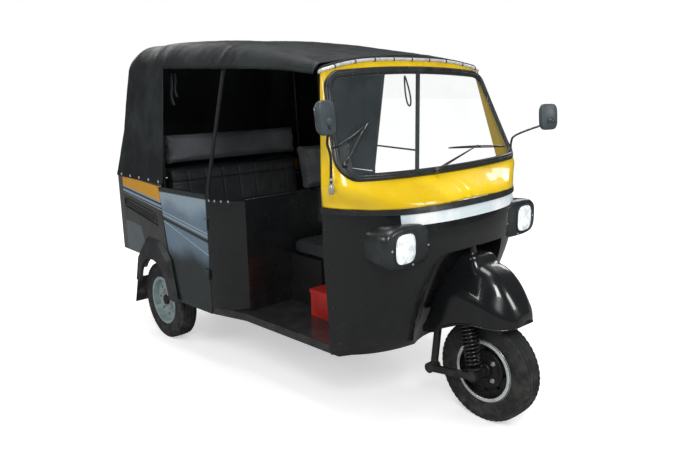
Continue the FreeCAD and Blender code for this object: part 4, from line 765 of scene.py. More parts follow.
def tyre(label, node, body):
    """Ribbed tyre with grooves, tread blocks notched at the shoulders and rings on the walls."""
    centre = wheel_centre(node)
    profile = tyre_profile()
    steps, notch_every, notch_depth, shoulder = 216, 4, 0.0030, 0.0400
    piece = revolve(label + "_tyre_rubber", profile, centre, (0, 1, 0), steps)
    for i in range(0, steps, notch_every):
        for j, (a, r) in enumerate(profile):
            if abs(a) > shoulder and r > wheel_radius - 0.010:
                v = piece.data.vertices[i * len(profile) + j]
                v.co -= Vector((v.co.x - centre.x, 0, v.co.z - centre.z)).normalized() * notch_depth
    thicken(piece, 0.006, 1.0)
    dress(piece, "tyre_rubber", body=body, replaced=[node])


def wheel_trim(label, node, body, side):
    """Nuts, hub cap, valve, and the front wheel's bright lip and drum, on the rim."""
    centre = wheel_centre(node)
    out = (0, side, 0)
    nut_count, nut_circle, nut_face = 4, 0.065, 0.0255
    valve_turn, valve_circle, valve_face = math.radians(200), 0.135, 0.030

    def on_rim(turn, radius, face):
        return centre + Vector((radius * math.cos(turn), side * face, radius * math.sin(turn)))

    parts = []
    for i in range(nut_count):
        spot = on_rim(2 * math.pi * i / nut_count + math.pi / 4, nut_circle, nut_face)
        nut = revolve("nut", [(0.0, 0.0135), (0.010, 0.0135), (0.013, 0.011), (0.013, 0.0)], spot, out, 6)
        washer = revolve("washer", [(-0.001, 0.0165), (0.002, 0.0165), (0.0026, 0.015), (0.0026, 0.0)],
                         spot, out, 24)
        stud = revolve("stud", [(0.010, 0.0062), (0.020, 0.0062), (0.0215, 0.005), (0.0215, 0.0)],
                       spot, out, 16)
        parts += [nut, washer, stud]
    dress(joined(label + "_wheel_nuts", parts), "bright_steel", body)
    cap = revolve(label + "_hub_cap", [(0.020, 0.036), (0.034, 0.0355), (0.041, 0.033), (0.045, 0.028),
                                       (0.0465, 0.018), (0.047, 0.0)], centre, out, 40)
    dress(cap, "hub_metal", body)
    valve_foot = on_rim(valve_turn, valve_circle, valve_face)
    valve = revolve(label + "_valve", [(0.0, 0.0042), (0.018, 0.0042), (0.020, 0.0050), (0.030, 0.0050),
                                       (0.032, 0.0040), (0.032, 0.0)], valve_foot, out, 16)
    dress(valve, "bright_steel", body)
    if label == "front":
        lip = revolve("front_rim_lip", [
            (0.0562, 0.1440), (0.0572, 0.1452), (0.0574, 0.1520), (0.0566, 0.1600), (0.0552, 0.1652),
            (0.0530, 0.1668), (0.0512, 0.1660)], centre, out, 120)
        dress(lip, "bright_trim", body=body)
        drum = revolve("front_brake_drum", [
            (0.0200, 0.104), (0.0300, 0.102), (0.0330, 0.098), (0.0330, 0.090), (0.0300, 0.086),
            (0.0300, 0.060), (0.0340, 0.056), (0.0340, 0.044)], centre, out, 72)
        backing = revolve("front_backing", [(0.004, 0.045), (0.004, 0.130), (0.008, 0.130), (0.008, 0.045)],
                          centre, out, 72, closed=True)
        for piece in (drum, backing):
            dress(piece, "hub_metal", body)


def coil_spring():
    """The front spring's wound wire, on the leaning axis between its two cups."""
    foot = Vector((behind(0.010), -0.107, 0.302))
    head = Vector((behind(0.082), -0.107, 0.620))
    coil_radius, wire_radius, damper_radius, rod_radius = 0.0385, 0.0056, 0.019, 0.012
    turns, steps, head_gap, foot_gap, close = 15.5, 24, 0.016, 0.006, 0.006
    lean = (head - foot).normalized()
    across = Vector((lean.z, 0, -lean.x))
    other = lean.cross(across)
    low = foot + lean * foot_gap
    length = (head - foot).length - foot_gap - head_gap
    points = []
    count = int(turns * steps)
    for i in range(count + 1):
        turn = 2 * math.pi * i / steps
        share = i / count
        # End turns lie closer together
        height = length * (share + close * math.sin(2 * math.pi * share))
        points.append(low + lean * height + (across * math.cos(turn) + other * math.sin(turn)) * coil_radius)
    wire = tube("front_spring_wire", points, wire_radius, 10)
    damper = tube("front_damper", [foot + lean * 0.004, head - lean * 0.10, head - lean * 0.012],
                  damper_radius, 20, radii=[damper_radius, damper_radius, rod_radius])
    dress(wire, "spring_black", "steering", ["front_spring"])
    dress(damper, "black_steel", body="steering")


for label, tyre_node, rim_node, body, side in wheels:
    tyre(label, tyre_node, body)
    wheel_trim(label, rim_node, body, side)
coil_spring()
canopy_sheet()
curtain_sheet()


# Upper front: one wrapped skin with the windscreen in it
# Places on it are given across, along its plan from the middle, and by height

cowl_foot = 1.131
cowl_top = 1.850
screen_foot = 1.28
screen_rise = 0.42
seam_rows = 60
plan_points = 200
blend_height = 0.125


def rounded_plan(rear, front, half, power):
    """Half a plan from the middle of the nose to its rear edge."""
    turn = np.linspace(0, math.pi / 2, 240)
    x = rear + (front - rear) * np.cos(turn) ** (2 / power)
    y = half * np.sin(turn) ** (2 / power)
    return np.stack([x, y], axis=1)


def seam_plan():
    """Half plan of the upper front's foot, taken from the CAD piece's lowest edge."""
    heart, edge_band, sector = 0.50, 0.002, math.radians(2.5)
    node = frame["nodes"]["front_cowl"]
    points = np.array([node.matrix_world @ v.co for v in node.data.vertices])
    low = points[points[:, 2] < points[:, 2].min() + edge_band]
    x, y = low[:, 0] - behind(heart), np.abs(low[:, 1])
    turn, reach = np.arctan2(y, x), np.hypot(x, y)
    edge = []
    for step in np.radians(np.linspace(0, 90, 46)):
        near = np.abs(turn - step) < sector
        if near.any():
            edge.append((step, reach[near].max()))
    edge = np.array(edge)
    fine = np.radians(np.linspace(0, 90, 240))
    r = smoothed(np.interp(fine, edge[:, 0], edge[:, 1]), 6)
    return np.stack([r * np.cos(fine) - heart, r * np.sin(fine)], axis=1)


def skin_plan(z, foot_plan):
    """Half plan of the skin at a height: the CAD's at its foot, a rounded one that leans back above."""
    rear, front, half = -0.475, -0.300, 0.694
    rear_lean, front_lean, half_lean, squareness = 0.090, 0.210, 0.084, 5.0
    rise = (z - screen_foot) / screen_rise
    plan = rounded_plan(rear - rear_lean * rise, front - front_lean * rise, half - half_lean * rise, squareness)
    share = np.clip((z - cowl_foot) / blend_height, 0, 1)
    share = share * share * (3 - 2 * share)
    return foot_plan * (1 - share) + spaced(plan, plan_points) * share


skin_heights = np.linspace(cowl_foot, cowl_top, seam_rows)
seam = spaced(seam_plan(), plan_points)
skin_plans = [skin_plan(z, seam) for z in skin_heights]
skin_table = np.array([spaced(plan, plan_points) for plan in skin_plans])
skin_reach = smoothed(np.array([travel(plan)[-1] for plan in skin_plans]), 2)


def reach_at(z):
    """Distance along the skin's plan from its middle to its rear edge."""
    return np.interp(z, skin_heights, skin_reach)


def skin_spot(across, z):
    """Place on the skin, between the points of its table."""
    place = (z - cowl_foot) / (cowl_top - cowl_foot) * (seam_rows - 1)
    row = int(np.clip(math.floor(place), 0, seam_rows - 2))
    k = place - row
    share = np.clip(abs(across) / reach_at(z), 0, 1) * (plan_points - 1)
    column = int(min(math.floor(share), plan_points - 2))
    m = share - column
    a, b = [skin_table[line, column] * (1 - m) + skin_table[line, column + 1] * m for line in (row, row + 1)]
    x, y = a * (1 - k) + b * k
    return Vector((front_axle_x + x, math.copysign(y, across), z))


def skin(across, z, out=0.0):
    """Place on the upper front's outer face, moved outwards."""
    spot = skin_spot(across, z)
    if not out:
        return spot
    step = 0.004
    along = skin_spot(across + step, z) - skin_spot(across - step, z)
    up = skin_spot(across, z + step) - skin_spot(across, z - step)
    return spot + along.cross(up).normalized() * out


def rounded_loop(corners, radii, steps=14):
    """Closed outline with arcs at its corners, as two-number points."""
    out = []
    for i, radius in enumerate(radii):
        p = np.array(corners[i])
        before = np.array(corners[i - 1]) - p
        after = np.array(corners[(i + 1) % len(corners)]) - p
        u, v = before / np.linalg.norm(before), after / np.linalg.norm(after)
        half = math.acos(np.clip(u @ v, -1, 1)) / 2
        centre = p + (u + v) / np.linalg.norm(u + v) * radius / math.sin(half)
        first, last = [p + way * radius / math.tan(half) - centre for way in (u, v)]
        angle = math.acos(np.clip(first @ last / radius ** 2, -1, 1))
        for w in np.linspace(0, 1, steps + 1):
            bent = first * math.sin((1 - w) * angle) + last * math.sin(w * angle)
            out.append(centre + bent / math.sin(angle))
    return np.array(out)


screen_middle = np.array([0.0, 1.50])


def screen_loop(inset=0.0, count=260):
    """Outer edge of the windscreen's seal, or a line inside it, as places across and up the skin."""
    foot, head = 0.704, 0.598
    foot_z, head_z, waist = 1.274, 1.764, 1.45
    foot_radius, head_radius = 0.080, 0.100
    crown_rise, crown_drop, foot_sag = 0.012, 0.026, 0.020
    loop = rounded_loop([(-foot, foot_z), (foot, foot_z), (head, head_z), (-head, head_z)],
                        (foot_radius, foot_radius, head_radius, head_radius))
    loop = spaced(loop, count, closed=True)
    top = np.clip((loop[:, 1] - waist) / 0.30, 0, 1)
    loop[:, 1] += top * (crown_rise - crown_drop * (loop[:, 0] / head) ** 2)
    low = np.clip((waist - loop[:, 1]) / 0.18, 0, 1)
    loop[:, 1] -= low * foot_sag * (1 - (loop[:, 0] / foot) ** 2)
    ahead = np.roll(loop, -1, axis=0) - np.roll(loop, 1, axis=0)
    ahead /= np.linalg.norm(ahead, axis=1)[:, None]
    return loop + np.stack([-ahead[:, 1], ahead[:, 0]], axis=1) * inset


def bead_height(across):
    """Height of the bright bead over the windscreen."""
    top, drop, half = 1.820, 0.068, 0.64
    return top - drop * min(1.0, abs(across) / half) ** 3


def skin_edge(place):
    """Where a line from the screen's middle through a place leaves the skin, by halving."""
    ray = (place - screen_middle) / np.linalg.norm(place - screen_middle)
    low, high = 0.05, 1.6
    for _ in range(30):
        reach = (low + high) / 2
        across, z = screen_middle + ray * reach
        inside = abs(across) < reach_at(np.clip(z, cowl_foot, cowl_top)) and cowl_foot < z < bead_height(across)
        low, high = (reach, high) if inside else (low, reach)
    return screen_middle + ray * low


def cowl_skin():
    """Yellow belt, pillars and header in one pressed skin."""
    rings, under_seal = 18, 0.010
    inner = screen_loop(under_seal)
    outer = np.array([skin_edge(place) for place in inner])
    # The lower corners of the skin are kept sharp
    for sign in (-1, 1):
        corner = np.array([sign * reach_at(cowl_foot), cowl_foot])
        outer[np.argmin(np.linalg.norm(outer - corner, axis=1))] = corner
    verts = [skin(*(p + (q - p) * (i / (rings - 1)))) for i in range(rings) for p, q in zip(inner, outer)]
    piece = new_object("cowl_skin", verts, grid_faces(rings, len(inner), False, True))
    thicken(piece, 0.012, 1.0)
    dress(piece, "yellow_paint", replaced=["front_cowl", "roof_visor"])


def screen_seal():
    """Thick rubber seal with a bulged face and a groove along its middle."""
    profile = [(-0.006, -0.004), (-0.007, 0.003), (-0.004, 0.009), (0.002, 0.0125), (0.008, 0.0130),
               (0.0115, 0.0105), (0.0135, 0.0105), (0.017, 0.0125), (0.022, 0.0110), (0.027, 0.006),
               (0.029, 0.000), (0.028, -0.008), (0.010, -0.010)]
    verts = [skin(*place, out) for inset, out in profile for place in screen_loop(inset)]
    piece = new_object("screen_seal", verts, grid_faces(len(profile), len(screen_loop()), True, True))
    dress(piece, "seal_rubber", replaced=["windscreen_seal"])


def screen_glass():
    """Curved pane inside the seal."""
    in_seal, rings, out = 0.024, 26, 0.002
    edge = screen_loop(in_seal)
    count = len(edge)
    verts = [skin(*place, out) for i in range(rings)
             for place in screen_middle + (edge - screen_middle) * (1 - i / rings)]
    verts.append(skin(*screen_middle, out))
    faces = grid_faces(rings, count, False, True) + fan_faces((rings - 1) * count, count, rings * count)
    dress(new_object("screen_pane", verts, faces), "window_glass", replaced=["windscreen_glass"])


def header_bead():
    """Bright bead over the windscreen with dark clips, and the roof's black piping above it."""
    reach, bead_radius, clip_radius, piping_radius, piping_lift = 0.632, 0.0085, 0.0096, 0.0075, 0.012
    steps = np.linspace(-reach, reach, 120)

    def on_bead(across):
        return skin(across, bead_height(across) - 0.002, 0.004)

    bead = tube("roof_bead_strip", [on_bead(a) for a in steps], bead_radius, 14)
    dress(bead, "bead_white", replaced=["roof_bead"])
    clips = [tube("clip", [on_bead(share * reach + d) for d in (-0.004, 0.004)], clip_radius, 14)
             for share in (-0.84, -0.62, -0.40, -0.18, 0.04, 0.26, 0.48, 0.70, 0.88)]
    dress(joined("roof_bead_clips", clips), "black_plastic")
    piping_line = [skin(a, bead_height(a) + piping_lift, -0.004) for a in steps * 1.01]
    piping = tube("roof_piping", piping_line, piping_radius, 12)
    dress(piping, "canopy_cloth")


def wiper(name, spindle, tip, ends, bow):
    """Wiper on the glass: spindle cap, sprung arm, bridge and rubber blade."""
    foot = skin(*spindle, 0.010)
    out = (skin(*spindle, 0.03) - skin(*spindle)).normalized()
    head = skin(*tip, 0.034)
    arm = [foot + out * 0.014, foot.lerp(head, 0.25) + out * 0.010, foot.lerp(head, 0.7) + out * 0.014, head]
    low, high = np.array(ends[0]), np.array(ends[1])
    steps, lift = np.linspace(0, 1, 26), 0.013
    blade = [skin(*(low + (high - low) * s), lift) for s in steps]
    bridge = [skin(*(low + (high - low) * s), lift + bow * math.sin(math.pi * s) ** 0.7) for s in steps]
    parts = [revolve("boss", [(0.0, 0.015), (0.010, 0.015), (0.017, 0.012), (0.020, 0.008), (0.020, 0.0)],
                     foot, out, 24),
             tube("arm", arm, 0.0042, 8, radii=[0.0075, 0.0065, 0.0042, 0.0038]),
             tube("blade", blade, 0.0036, 8), tube("bridge", bridge, 0.0034, 8)]
    parts += [tube("claw", [blade[k], bridge[k]], 0.003, 6) for k in (5, 12, 19)]
    dress(joined(name, parts), "black_steel", replaced=["wipers"])


cowl_skin()
screen_seal()
screen_glass()
header_bead()
wiper("wiper_middle", (-0.110, 1.262), (0.270, 1.350), ((0.055, 1.360), (0.560, 1.330)), 0.020)
wiper("wiper_side", (-0.650, 1.335), (-0.480, 1.500), ((-0.672, 1.408), (-0.450, 1.512)), 0.018)


# Lamps, mirrors and mudguard

def headlamp(label, side):
    """Smoked pod with a recessed bowl, fluted lens and fixing screws."""
    face = behind(0.138)
    centre = Vector((face, side * 0.452, 0.960))
    lens_wide, lens_high, lens_out, rings, count, bulge = 0.0665, 0.0695, 0.004, 16, 96, 0.013
    pod = squared_stack("headlamp_pod_" + label, centre, [
        (-0.235, 0.128, 0.086, side * -0.010, -0.006), (-0.160, 0.140, 0.093, side * -0.004, -0.003),
        (-0.090, 0.148, 0.098), (-0.036, 0.152, 0.101), (-0.016, 0.150, 0.099), (-0.004, 0.143, 0.092),
        (0.000, 0.132, 0.082), (0.001, 0.100, 0.066)], 3.6)
    dress(pod, "smoked_plastic", replaced=["headlamp_housings"])
    spot = Vector((face, side * 0.484, 0.958))
    bezel = squared_stack("headlamp_bezel_" + label, spot, [
        (0.001, 0.075, 0.078), (0.006, 0.0735, 0.0765), (0.008, 0.069, 0.072), (0.004, 0.066, 0.069)],
        3.4, cap=False)
    dress(bezel, "black_plastic")
    verts = []
    for i in range(rings):
        share = 1 - i / rings
        verts.extend((spot.x + lens_out + bulge * (1 - share ** 2.4), spot.y + y, spot.z + z)
                     for y, z in squared_ring(lens_wide * share, lens_high * share, 3.2, count))
    verts.append((spot.x + lens_out + bulge, spot.y, spot.z))
    faces = grid_faces(rings, count, False, True) + fan_faces((rings - 1) * count, count, rings * count)
    dress(new_object("headlamp_lens_" + label, verts, faces), "lamp_glass", replaced=["headlamp_lenses"])
    screws = [revolve("screw", [(0.0, 0.006), (0.003, 0.0055), (0.0042, 0.003), (0.0044, 0.0)],
                      centre + Vector((0.0, side * dy, dz)), (1, 0, 0), 14)
              for dy, dz in ((0.118, 0.0), (-0.128, -0.01), (-0.02, -0.085))]
    dress(joined("headlamp_screws_" + label, screws), "bright_steel")


def mirror(label, head, turn, rod, grips):
    """Mirror shell with its bevelled back and glass, on a bent rod with a clamp at the foot."""
    spin = Matrix.Rotation(turn, 4, "Z") @ Matrix.Rotation(math.radians(-6), 4, "Y")
    shell = squared_stack("shell", (0, 0, 0), [
        (-0.020, 0.020, 0.030), (-0.019, 0.0440, 0.0600), (-0.014, 0.0530, 0.0700), (-0.004, 0.0575, 0.0755),
        (0.010, 0.0570, 0.0750), (0.0165, 0.0535, 0.0715), (0.018, 0.050, 0.068)], 4.0, 72)
    pane = squared_stack("pane", (0, 0, 0), [(-0.0200, 0.047, 0.065), (-0.0215, 0.046, 0.064)], 4.0, 72)
    boss = revolve("boss", [(0.014, 0.020), (0.024, 0.018), (0.028, 0.012), (0.028, 0.0)],
                   (0, 0, 0), (1, 0, 0), 20)
    for part, shift in ((shell, (0, 0, 0)), (pane, (-0.0012, 0, 0)), (boss, (0, 0, -0.020))):
        part.matrix_world = Matrix.Translation(head) @ spin @ Matrix.Translation(shift)
    bpy.context.view_layer.update()
    dress(joined("mirror_shell_" + label, [shell, boss]), "mirror_plastic",
          replaced=["mirrors"])
    dress(joined("mirror_pane_" + label, [pane]), "mirror_silver")
    dress(tube("mirror_rod_" + label, smooth_path(rod, 8), 0.0062, 12), "black_steel")
    clamp = [tube("grip", [low, low.lerp(high, 0.5), high], radius, 16) for low, high, radius in grips]
    dress(joined("mirror_clamp_" + label, clamp), "bright_steel")


def mirrors():
    """Both mirrors, their rods fixed to the skin beside the screen."""
    foot = skin(-0.742, 1.235, 0.012)
    mirror("right", Vector((behind(0.345), -0.770, 1.556)), math.radians(14),
           [foot, foot + Vector((0.004, -0.004, 0.060)), foot + Vector((0.006, -0.006, 0.150)),
            (behind(0.372), -0.738, 1.440), (behind(0.345), -0.756, 1.485), (behind(0.318), -0.770, 1.520)],
           [(foot + Vector((0, 0, -0.022)), foot + Vector((0, 0, 0.026)), 0.0125),
            (foot + Vector((0.002, -0.002, 0.040)), foot + Vector((0.003, -0.003, 0.052)), 0.0095)])
    foot = skin(0.700, 1.300, 0.012)
    mirror("left", Vector((behind(0.235), 0.848, 1.492)), math.radians(-22),
           [foot, foot + Vector((0.002, 0.004, 0.050)), foot + Vector((0.012, 0.014, 0.078)),
            (behind(0.330), 0.760, 1.410), (behind(0.230), 0.838, 1.455), (behind(0.200), 0.862, 1.468)],
           [(foot + Vector((0, 0, -0.018)), foot + Vector((0, 0, 0.014)), 0.0115)])


def fender_lines(rows=90, columns=96):
    """Lines across the CAD mudguard's outer face, from rays towards its middle."""
    tree = BVHTree.FromObject(frame["nodes"]["front_fender"], bpy.context.evaluated_depsgraph_get())
    low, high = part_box("front_fender")
    reach, least_reach, least_hits, heart_z = 0.7, 0.05, 20, 0.55
    turns = np.radians(np.linspace(-40, 220, 520))
    lines = []
    for x in np.linspace(low[0] + 0.004, high[0] - 0.003, rows):
        centre = Vector((x, 0, heart_z))
        line = []
        for turn in turns:
            ray = Vector((0, math.cos(turn), math.sin(turn)))
            hit = tree.ray_cast(centre + ray * reach, -ray, reach)[0]
            if hit is not None and (hit - centre).dot(ray) > least_reach:
                line.append(hit)
        if len(line) >= least_hits:
            lines.append(spaced(np.array(line), columns))
    return np.array(lines)


def mudguard():
    """Helmet mudguard: a smooth skin drawn over the CAD piece, closed at its nose, with a rolled edge."""
    passes, thickness, edge_radius = 14, 0.004, 0.0042
    grid = fender_lines()
    for _ in range(passes):
        inner = (grid[:-2, 1:-1] + grid[2:, 1:-1] + grid[1:-1, :-2] + grid[1:-1, 2:]) / 4
        grid[1:-1, 1:-1] = grid[1:-1, 1:-1] * 0.3 + inner * 0.7
        grid[1:-1, [0, -1]] = grid[1:-1, [0, -1]] * 0.5 + (grid[:-2, [0, -1]] + grid[2:, [0, -1]]) * 0.25
        for row in (0, -1):
            grid[row, 1:-1] = grid[row, 1:-1] * 0.5 + (grid[row, :-2] + grid[row, 2:]) * 0.25
    rows, columns = grid.shape[:2]
    piece = new_object("mudguard_skin", grid.reshape(-1, 3), grid_faces(rows, columns))
    mesh = bmesh.new()
    mesh.from_mesh(piece.data)
    mesh.verts.ensure_lookup_table()
    nose = mesh.verts[-columns:]
    chin = mesh.verts.new((nose[0].co + nose[-1].co) / 2 + Vector((0.001, 0, 0)))
    for one, other in zip(nose, nose[1:]):
        mesh.faces.new((one, other, chin))
    turn_up(mesh)
    mesh.to_mesh(piece.data)
    mesh.free()
    thicken(piece, thickness)
    dress(piece, "gloss_black", "steering", ["front_fender"])
    edge = np.vstack([grid[:, 0], grid[::-1, -1]])
    dress(tube("mudguard_edge", edge[::2], edge_radius, 8), "gloss_black", "steering")


# Cushions

def swell(piece):
    """Blows a closed mesh up with the cloth solver, weightless and without collisions."""
    cloth = piece.modifiers.new("cloth", "CLOTH")
    settings = cloth.settings
    settings.quality = 4
    settings.mass = 0.25
    settings.tension_stiffness = settings.compression_stiffness = 12
    settings.bending_stiffness = 0.6
    settings.use_pressure = True
    settings.uniform_pressure_force = 4.0
    settings.effector_weights.gravity = 0.0
    cloth.collision_settings.use_collision = False
    last_frame = 20
    cloth.point_cache.frame_end = last_frame
    for step in range(1, last_frame + 1):
        bpy.context.scene.frame_set(step)
    apply_modifiers(piece)
    bpy.context.scene.frame_set(1)


def cushion(node, look, channels, cell=0.010):
    """Upholstered copy of a CAD cushion: blown up as cloth, capped, smoothed, then sewn along channels."""
    shrink, reach, channel_width = 0.010, 0.014, 0.0055
    source = frame["nodes"][node]
    piece = bpy.data.objects.new(node + "_pad", source.data.copy())
    bpy.context.scene.collection.objects.link(piece)
    piece.matrix_world = source.matrix_world.copy()
    remesh = piece.modifiers.new("remesh", "REMESH")
    remesh.mode = "VOXEL"
    remesh.voxel_size = cell
    apply_modifiers(piece)
    rest = np.array([v.co for v in piece.data.vertices])
    low, high = rest.min(axis=0), rest.max(axis=0)
    middle = (low + high) / 2
    rest = middle + (rest - middle) * (1 - shrink / np.maximum(high - middle, 0.02))
    place_points(piece, rest)
    swell(piece)
    move = np.array([v.co for v in piece.data.vertices]) - rest
    length = np.linalg.norm(move, axis=1, keepdims=True)
    place_points(piece, rest + move * np.minimum(1.0, reach / np.maximum(length, 1e-6)))
    piece.modifiers.new("subdivision", "SUBSURF").levels = 1
    apply_modifiers(piece)
    sewn = []
    for vert in piece.data.vertices:
        dip = sum(depth * ridge(vert.co[axis] - at, channel_width) for axis, at, depth in channels)
        wrinkle = 0.0012 * fold_noise(vert.co, 13.0, seed=4.0) + 0.0006 * fold_noise(vert.co, 40.0, seed=8.0)
        sewn.append(vert.co + vert.normal * (wrinkle - dip))
    place_points(piece, sewn)
    piece.data.shade_smooth()
    dress(piece, look, replaced=[node])


def cushions():
    """All seat pads; a channel is its axis, its place on that axis and its depth."""
    ribs = [(1, y, 0.006) for y in np.arange(-0.42, 0.43, 0.14)]
    cushion("bench_cushion", "seat_vinyl", ribs)
    cushion("bench_backrest", "seat_vinyl", ribs + [(2, 1.06, 0.006)])
    cushion("bench_headrest", "headrest_vinyl", [(2, 1.386, 0.003)])
    cushion("driver_cushion", "seat_vinyl", [(1, y, 0.005) for y in (-0.12, 0.0, 0.12)], 0.008)
    cushion("driver_backrest", "seat_vinyl", [(1, y, 0.004) for y in (-0.10, 0.0, 0.10)], 0.008)


# Body details

trees = {node: BVHTree.FromObject(frame["nodes"][node], bpy.context.evaluated_depsgraph_get())
         for node in ("partition", "front_shell", "quarter_panels")}


def bolt_heads(name, spots, side, radius, look):
    """Domed bolt heads on washers on one side of the body."""
    profile = [(0.0, radius * 1.5), (0.0012, radius * 1.45), (0.0014, radius), (0.0040, radius * 0.92),
               (0.0050, radius * 0.6), (0.0052, 0.0)]
    parts = [revolve("head", profile, spot, (0, side, 0), 14) for spot in spots]
    dress(joined(name, parts), look)


def side_spot(node, setback, z, side):
    """Where a ray from the side first meets a CAD piece."""
    beyond, lift = 1.2, 0.0005
    ray = Vector((0, -side, 0))
    hit, normal, _, _ = trees[node].ray_cast(Vector((behind(setback), side * beyond, z)), ray)
    return hit - normal * math.copysign(lift, normal.dot(ray))


# Each row of screws: name, piece, places as (setback, height), head radius, look and slot
bolt_rows = (
    ("corner_bolts_", "partition", [(s, 1.045) for s in (1.385, 1.425, 1.465, 1.505)], 0.0055,
     "bright_steel", "bright_trim"),
    ("corner_side_bolts_", "partition", [(1.515, z) for z in (0.46, 0.62, 0.78, 0.94)], 0.0045,
     "black_steel", "black_steel"),
    ("shell_bolts_", "front_shell", [(0.492, z) for z in (0.42, 0.62, 0.82, 1.02)], 0.0055,
     "black_steel", "black_steel"),
)


def body_bolts(label, side):
    for name, node, places, radius, look, slot in bolt_rows:
        spots = [side_spot(node, setback, z, side) for setback, z in places]
        bolt_heads(name + label, spots, side, radius, look)


def trough_ribs(label, side):
    """Pressed ribs along the sunk band of a rear quarter."""
    count, radius, front, rear = 5, 0.0040, 2.12, 2.57
    # The band's upper and lower edges as setbacks and heights
    top_edge, foot_edge = ((2.01, 2.58), (0.884, 0.959)), ((2.01, 2.63), (0.818, 0.882))
    ribs = []
    for k in range(count):
        points = []
        for s in np.linspace(front, rear, 16):
            top, foot = np.interp(s, *top_edge), np.interp(s, *foot_edge)
            points.append(side_spot("quarter_panels", s, foot + (top - foot) * (k + 0.5) / count, side))
        ribs.append(tube("rib", points, radius, 8))
    dress(joined("trough_ribs_" + label, ribs), "black_steel")


def canopy_fixings(label, side):
    """Eyelets along the hem of a rear quarter."""
    height, step, lift = canopy_hem + 0.018, 0.002, 0.003
    spots = []
    for setback in (2.02, 2.16, 2.30, 2.44, 2.58):
        y = 0.7 + step
        while canopy_level(behind(setback), y, height) <= 0:
            y += step
        spots.append(Vector((behind(setback), side * (y + lift), height)))
    bolt_heads("canopy_eyelets_" + label, spots, side, 0.0065, "bright_steel")


def tail_lamp_ribs(label, side):
    """Ribs across a tail lamp's cover."""
    low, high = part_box("tail_lamps")
    middle = side * (high[1] - 0.036)
    face, half = low[0] - 0.001, 0.026
    ribs = [tube("rib", [(face, middle - half, z), (face, middle + half, z)], 0.0026, 8)
            for z in np.linspace(low[2] + 0.018, high[2] - 0.018, 7)]
    dress(joined("tail_lamp_ribs_" + label, ribs), "red_lens")


def number_plate():
    """Bare plate on the rear lid."""
    plate = squared_stack("number_plate_blank", (behind(2.7365), 0, 0.80), [
        (0.002, 0.170, 0.058), (-0.001, 0.170, 0.058), (-0.002, 0.166, 0.054)], 9.0)
    dress(plate, "white_strip", body="rear_lid")


def hung_strap(name, top, drop, wide):
    """Folded cloth strap that hangs from a hoop."""
    rows = 22
    verts = []
    for i in range(rows):
        share = i / (rows - 1)
        sway = 0.010 * math.sin(share * 7.0) * share
        narrow = 1 - 0.35 * math.sin(share * 3.0)
        verts.extend((top[0] + dx * wide * narrow / 2 + sway, top[1] + dy * wide + sway * 0.4,
                      top[2] - drop * share)
                     for dx, dy in ((-1, -0.12), (-0.3, 0.1), (0.35, -0.08), (1, 0.12)))
    piece = new_object(name, verts, grid_faces(rows, 4))
    thicken(piece, 0.0016)
    dress(piece, "flap_cloth")


def grab_strap():
    """Teardrop hand strap under the roof behind the driver's door."""
    top = Vector((behind(1.138), 0.600, 1.745))
    tip = Vector((behind(1.093), 0.600, 1.555))
    down = (tip - top).normalized()
    across = Vector((down.z, 0, -down.x))
    count, half_width = 48, 0.026
    points = []
    for k in range(count):
        turn = 2 * math.pi * k / count
        share = 0.5 - 0.5 * math.cos(turn)
        swell_out = half_width * math.sin(turn) * (0.35 + 0.65 * share)
        points.append(top.lerp(tip, share) + across * swell_out)
    dress(tube("grab_strap", points, 0.0055, 8, closed=True), "black_plastic")


mirrors()
mudguard()
cushions()
for label, side in two_sides:
    headlamp(label, side)
    body_bolts(label, side)
    trough_ribs(label, side)
    canopy_fixings(label, side)
    tail_lamp_ribs(label, side)
number_plate()
hung_strap("tie_strap_rear", (behind(1.995), -0.625, 1.790), 0.20, 0.030)
hung_strap("tie_strap_inner", (behind(1.970), -0.610, 1.790), 0.15, 0.024)
grab_strap()


# Stage, light and camera

def stage_floor():
    """Pale floor that reads white in view and still takes the vehicle's shadow."""
    size = 60.0
    pale, dark, glossy_share = (0.86, 0.86, 0.86), (0.10, 0.10, 0.10), 0.16
    near, far, near_glow, far_glow = 1.9, 5.0, 0.50, 0.80
    verts = [(-size, -size, 0), (size, -size, 0), (size, size, 0), (-size, size, 0)]
    floor = new_object("floor", verts, [(0, 1, 2, 3)], smooth=False)
    s = Shader("floor")
    path = s.node("LightPath").outputs
    seen = s.math("MAXIMUM", path["Is Camera Ray"], path["Is Transmission Ray"])
    seen = s.math("MAXIMUM", seen, s.math("MULTIPLY", path["Is Glossy Ray"], glossy_share))
    away = s.math("SQRT", s.math("ADD", s.math("POWER", s.axis("X"), 2.0), s.math("POWER", s.axis("Y"), 2.0)))
    s.set(Roughness=0.9, Specular_IOR_Level=0.1, Emission_Color=(1.0, 1.0, 1.0),
          Base_Color=s.mix(path["Is Glossy Ray"], pale, dark),
          Emission_Strength=s.math("MULTIPLY", seen, s.range(away, near, far, near_glow, far_glow)))
    floor.data.materials.append(s.material)


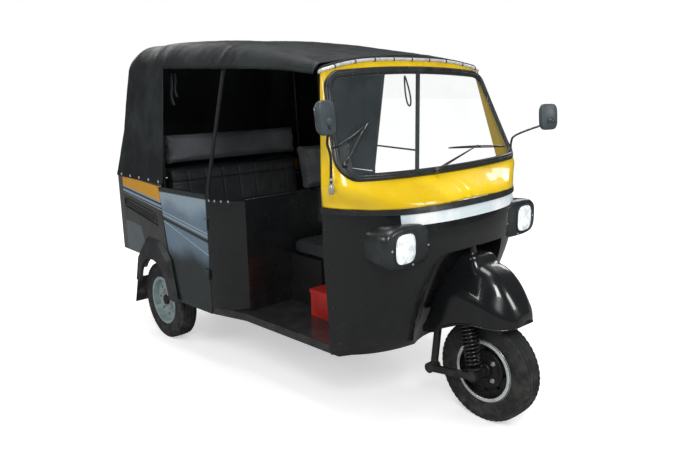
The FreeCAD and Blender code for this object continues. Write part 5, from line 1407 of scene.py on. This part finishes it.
def white_world():
    """World that is white in view, a soft grey light and a dark room to reflections."""
    world = bpy.data.worlds.new("studio")
    bpy.context.scene.world = world
    world.use_nodes = True
    w = Nodes(world.node_tree)
    path = w.node("LightPath").outputs
    seen = w.math("MAXIMUM", path["Is Camera Ray"], path["Is Transmission Ray"])
    soft_light, mirrored_light = 0.30, 0.055
    room = w.range(path["Is Glossy Ray"], 0.0, 1.0, soft_light, mirrored_light)
    background = w.nodes["Background"].inputs
    w.feed(background["Color"], (1.0, 1.0, 1.0))
    w.feed(background["Strength"], w.math("MAXIMUM", seen, room))


def area_lamp(name, place, target, size, power):
    data = bpy.data.lights.new(name, "AREA")
    data.shape = "RECTANGLE"
    data.size, data.size_y = size
    data.energy = power
    lamp = bpy.data.objects.new(name, data)
    bpy.context.scene.collection.objects.link(lamp)
    lamp.location = place
    lamp.rotation_euler = (Vector(target) - Vector(place)).to_track_quat("-Z", "Y").to_euler()


def photo_camera():
    """Camera at the photograph's viewing place, height and angle."""
    yaw, pitch, roll = 2.4160, -0.21549, -0.01872
    place = Vector((front_axle_x + 1.7705, -2.5788, 1.6882))
    turn = (Matrix.Rotation(yaw - math.pi / 2, 4, "Z") @ Matrix.Rotation(math.pi / 2 + pitch, 4, "X")
            @ Matrix.Rotation(roll, 4, "Z"))
    data = bpy.data.cameras.new("camera")
    data.sensor_width = 36.0
    data.lens = 33.877
    camera = bpy.data.objects.new("camera", data)
    bpy.context.scene.collection.objects.link(camera)
    camera.matrix_world = Matrix.Translation(place) @ turn
    bpy.context.scene.camera = camera


stage_floor()
white_world()
# Each lamp: place, target, size in metres and power in watts
area_lamp("key", (4.4, -3.4, 4.6), (0.2, 0, 0.9), (1.9, 1.9), 150.0)
area_lamp("side", (-2.0, -5.4, 3.6), (-0.4, 0, 0.8), (2.8, 1.2), 70.0)
area_lamp("front", (5.4, 2.0, 3.0), (0.6, 0, 0.9), (1.6, 1.6), 60.0)
area_lamp("left", (-0.5, 5.4, 3.6), (0, 0, 0.8), (2.8, 1.6), 60.0)
area_lamp("back", (-5.2, 0.6, 3.6), (-0.6, 0, 0.9), (2.4, 1.6), 60.0)
area_lamp("top", (0.0, 0.0, 5.6), (0, 0, 0), (4.0, 2.4), 150.0)
photo_camera()
bpy.context.scene.view_settings.view_transform = "Standard"
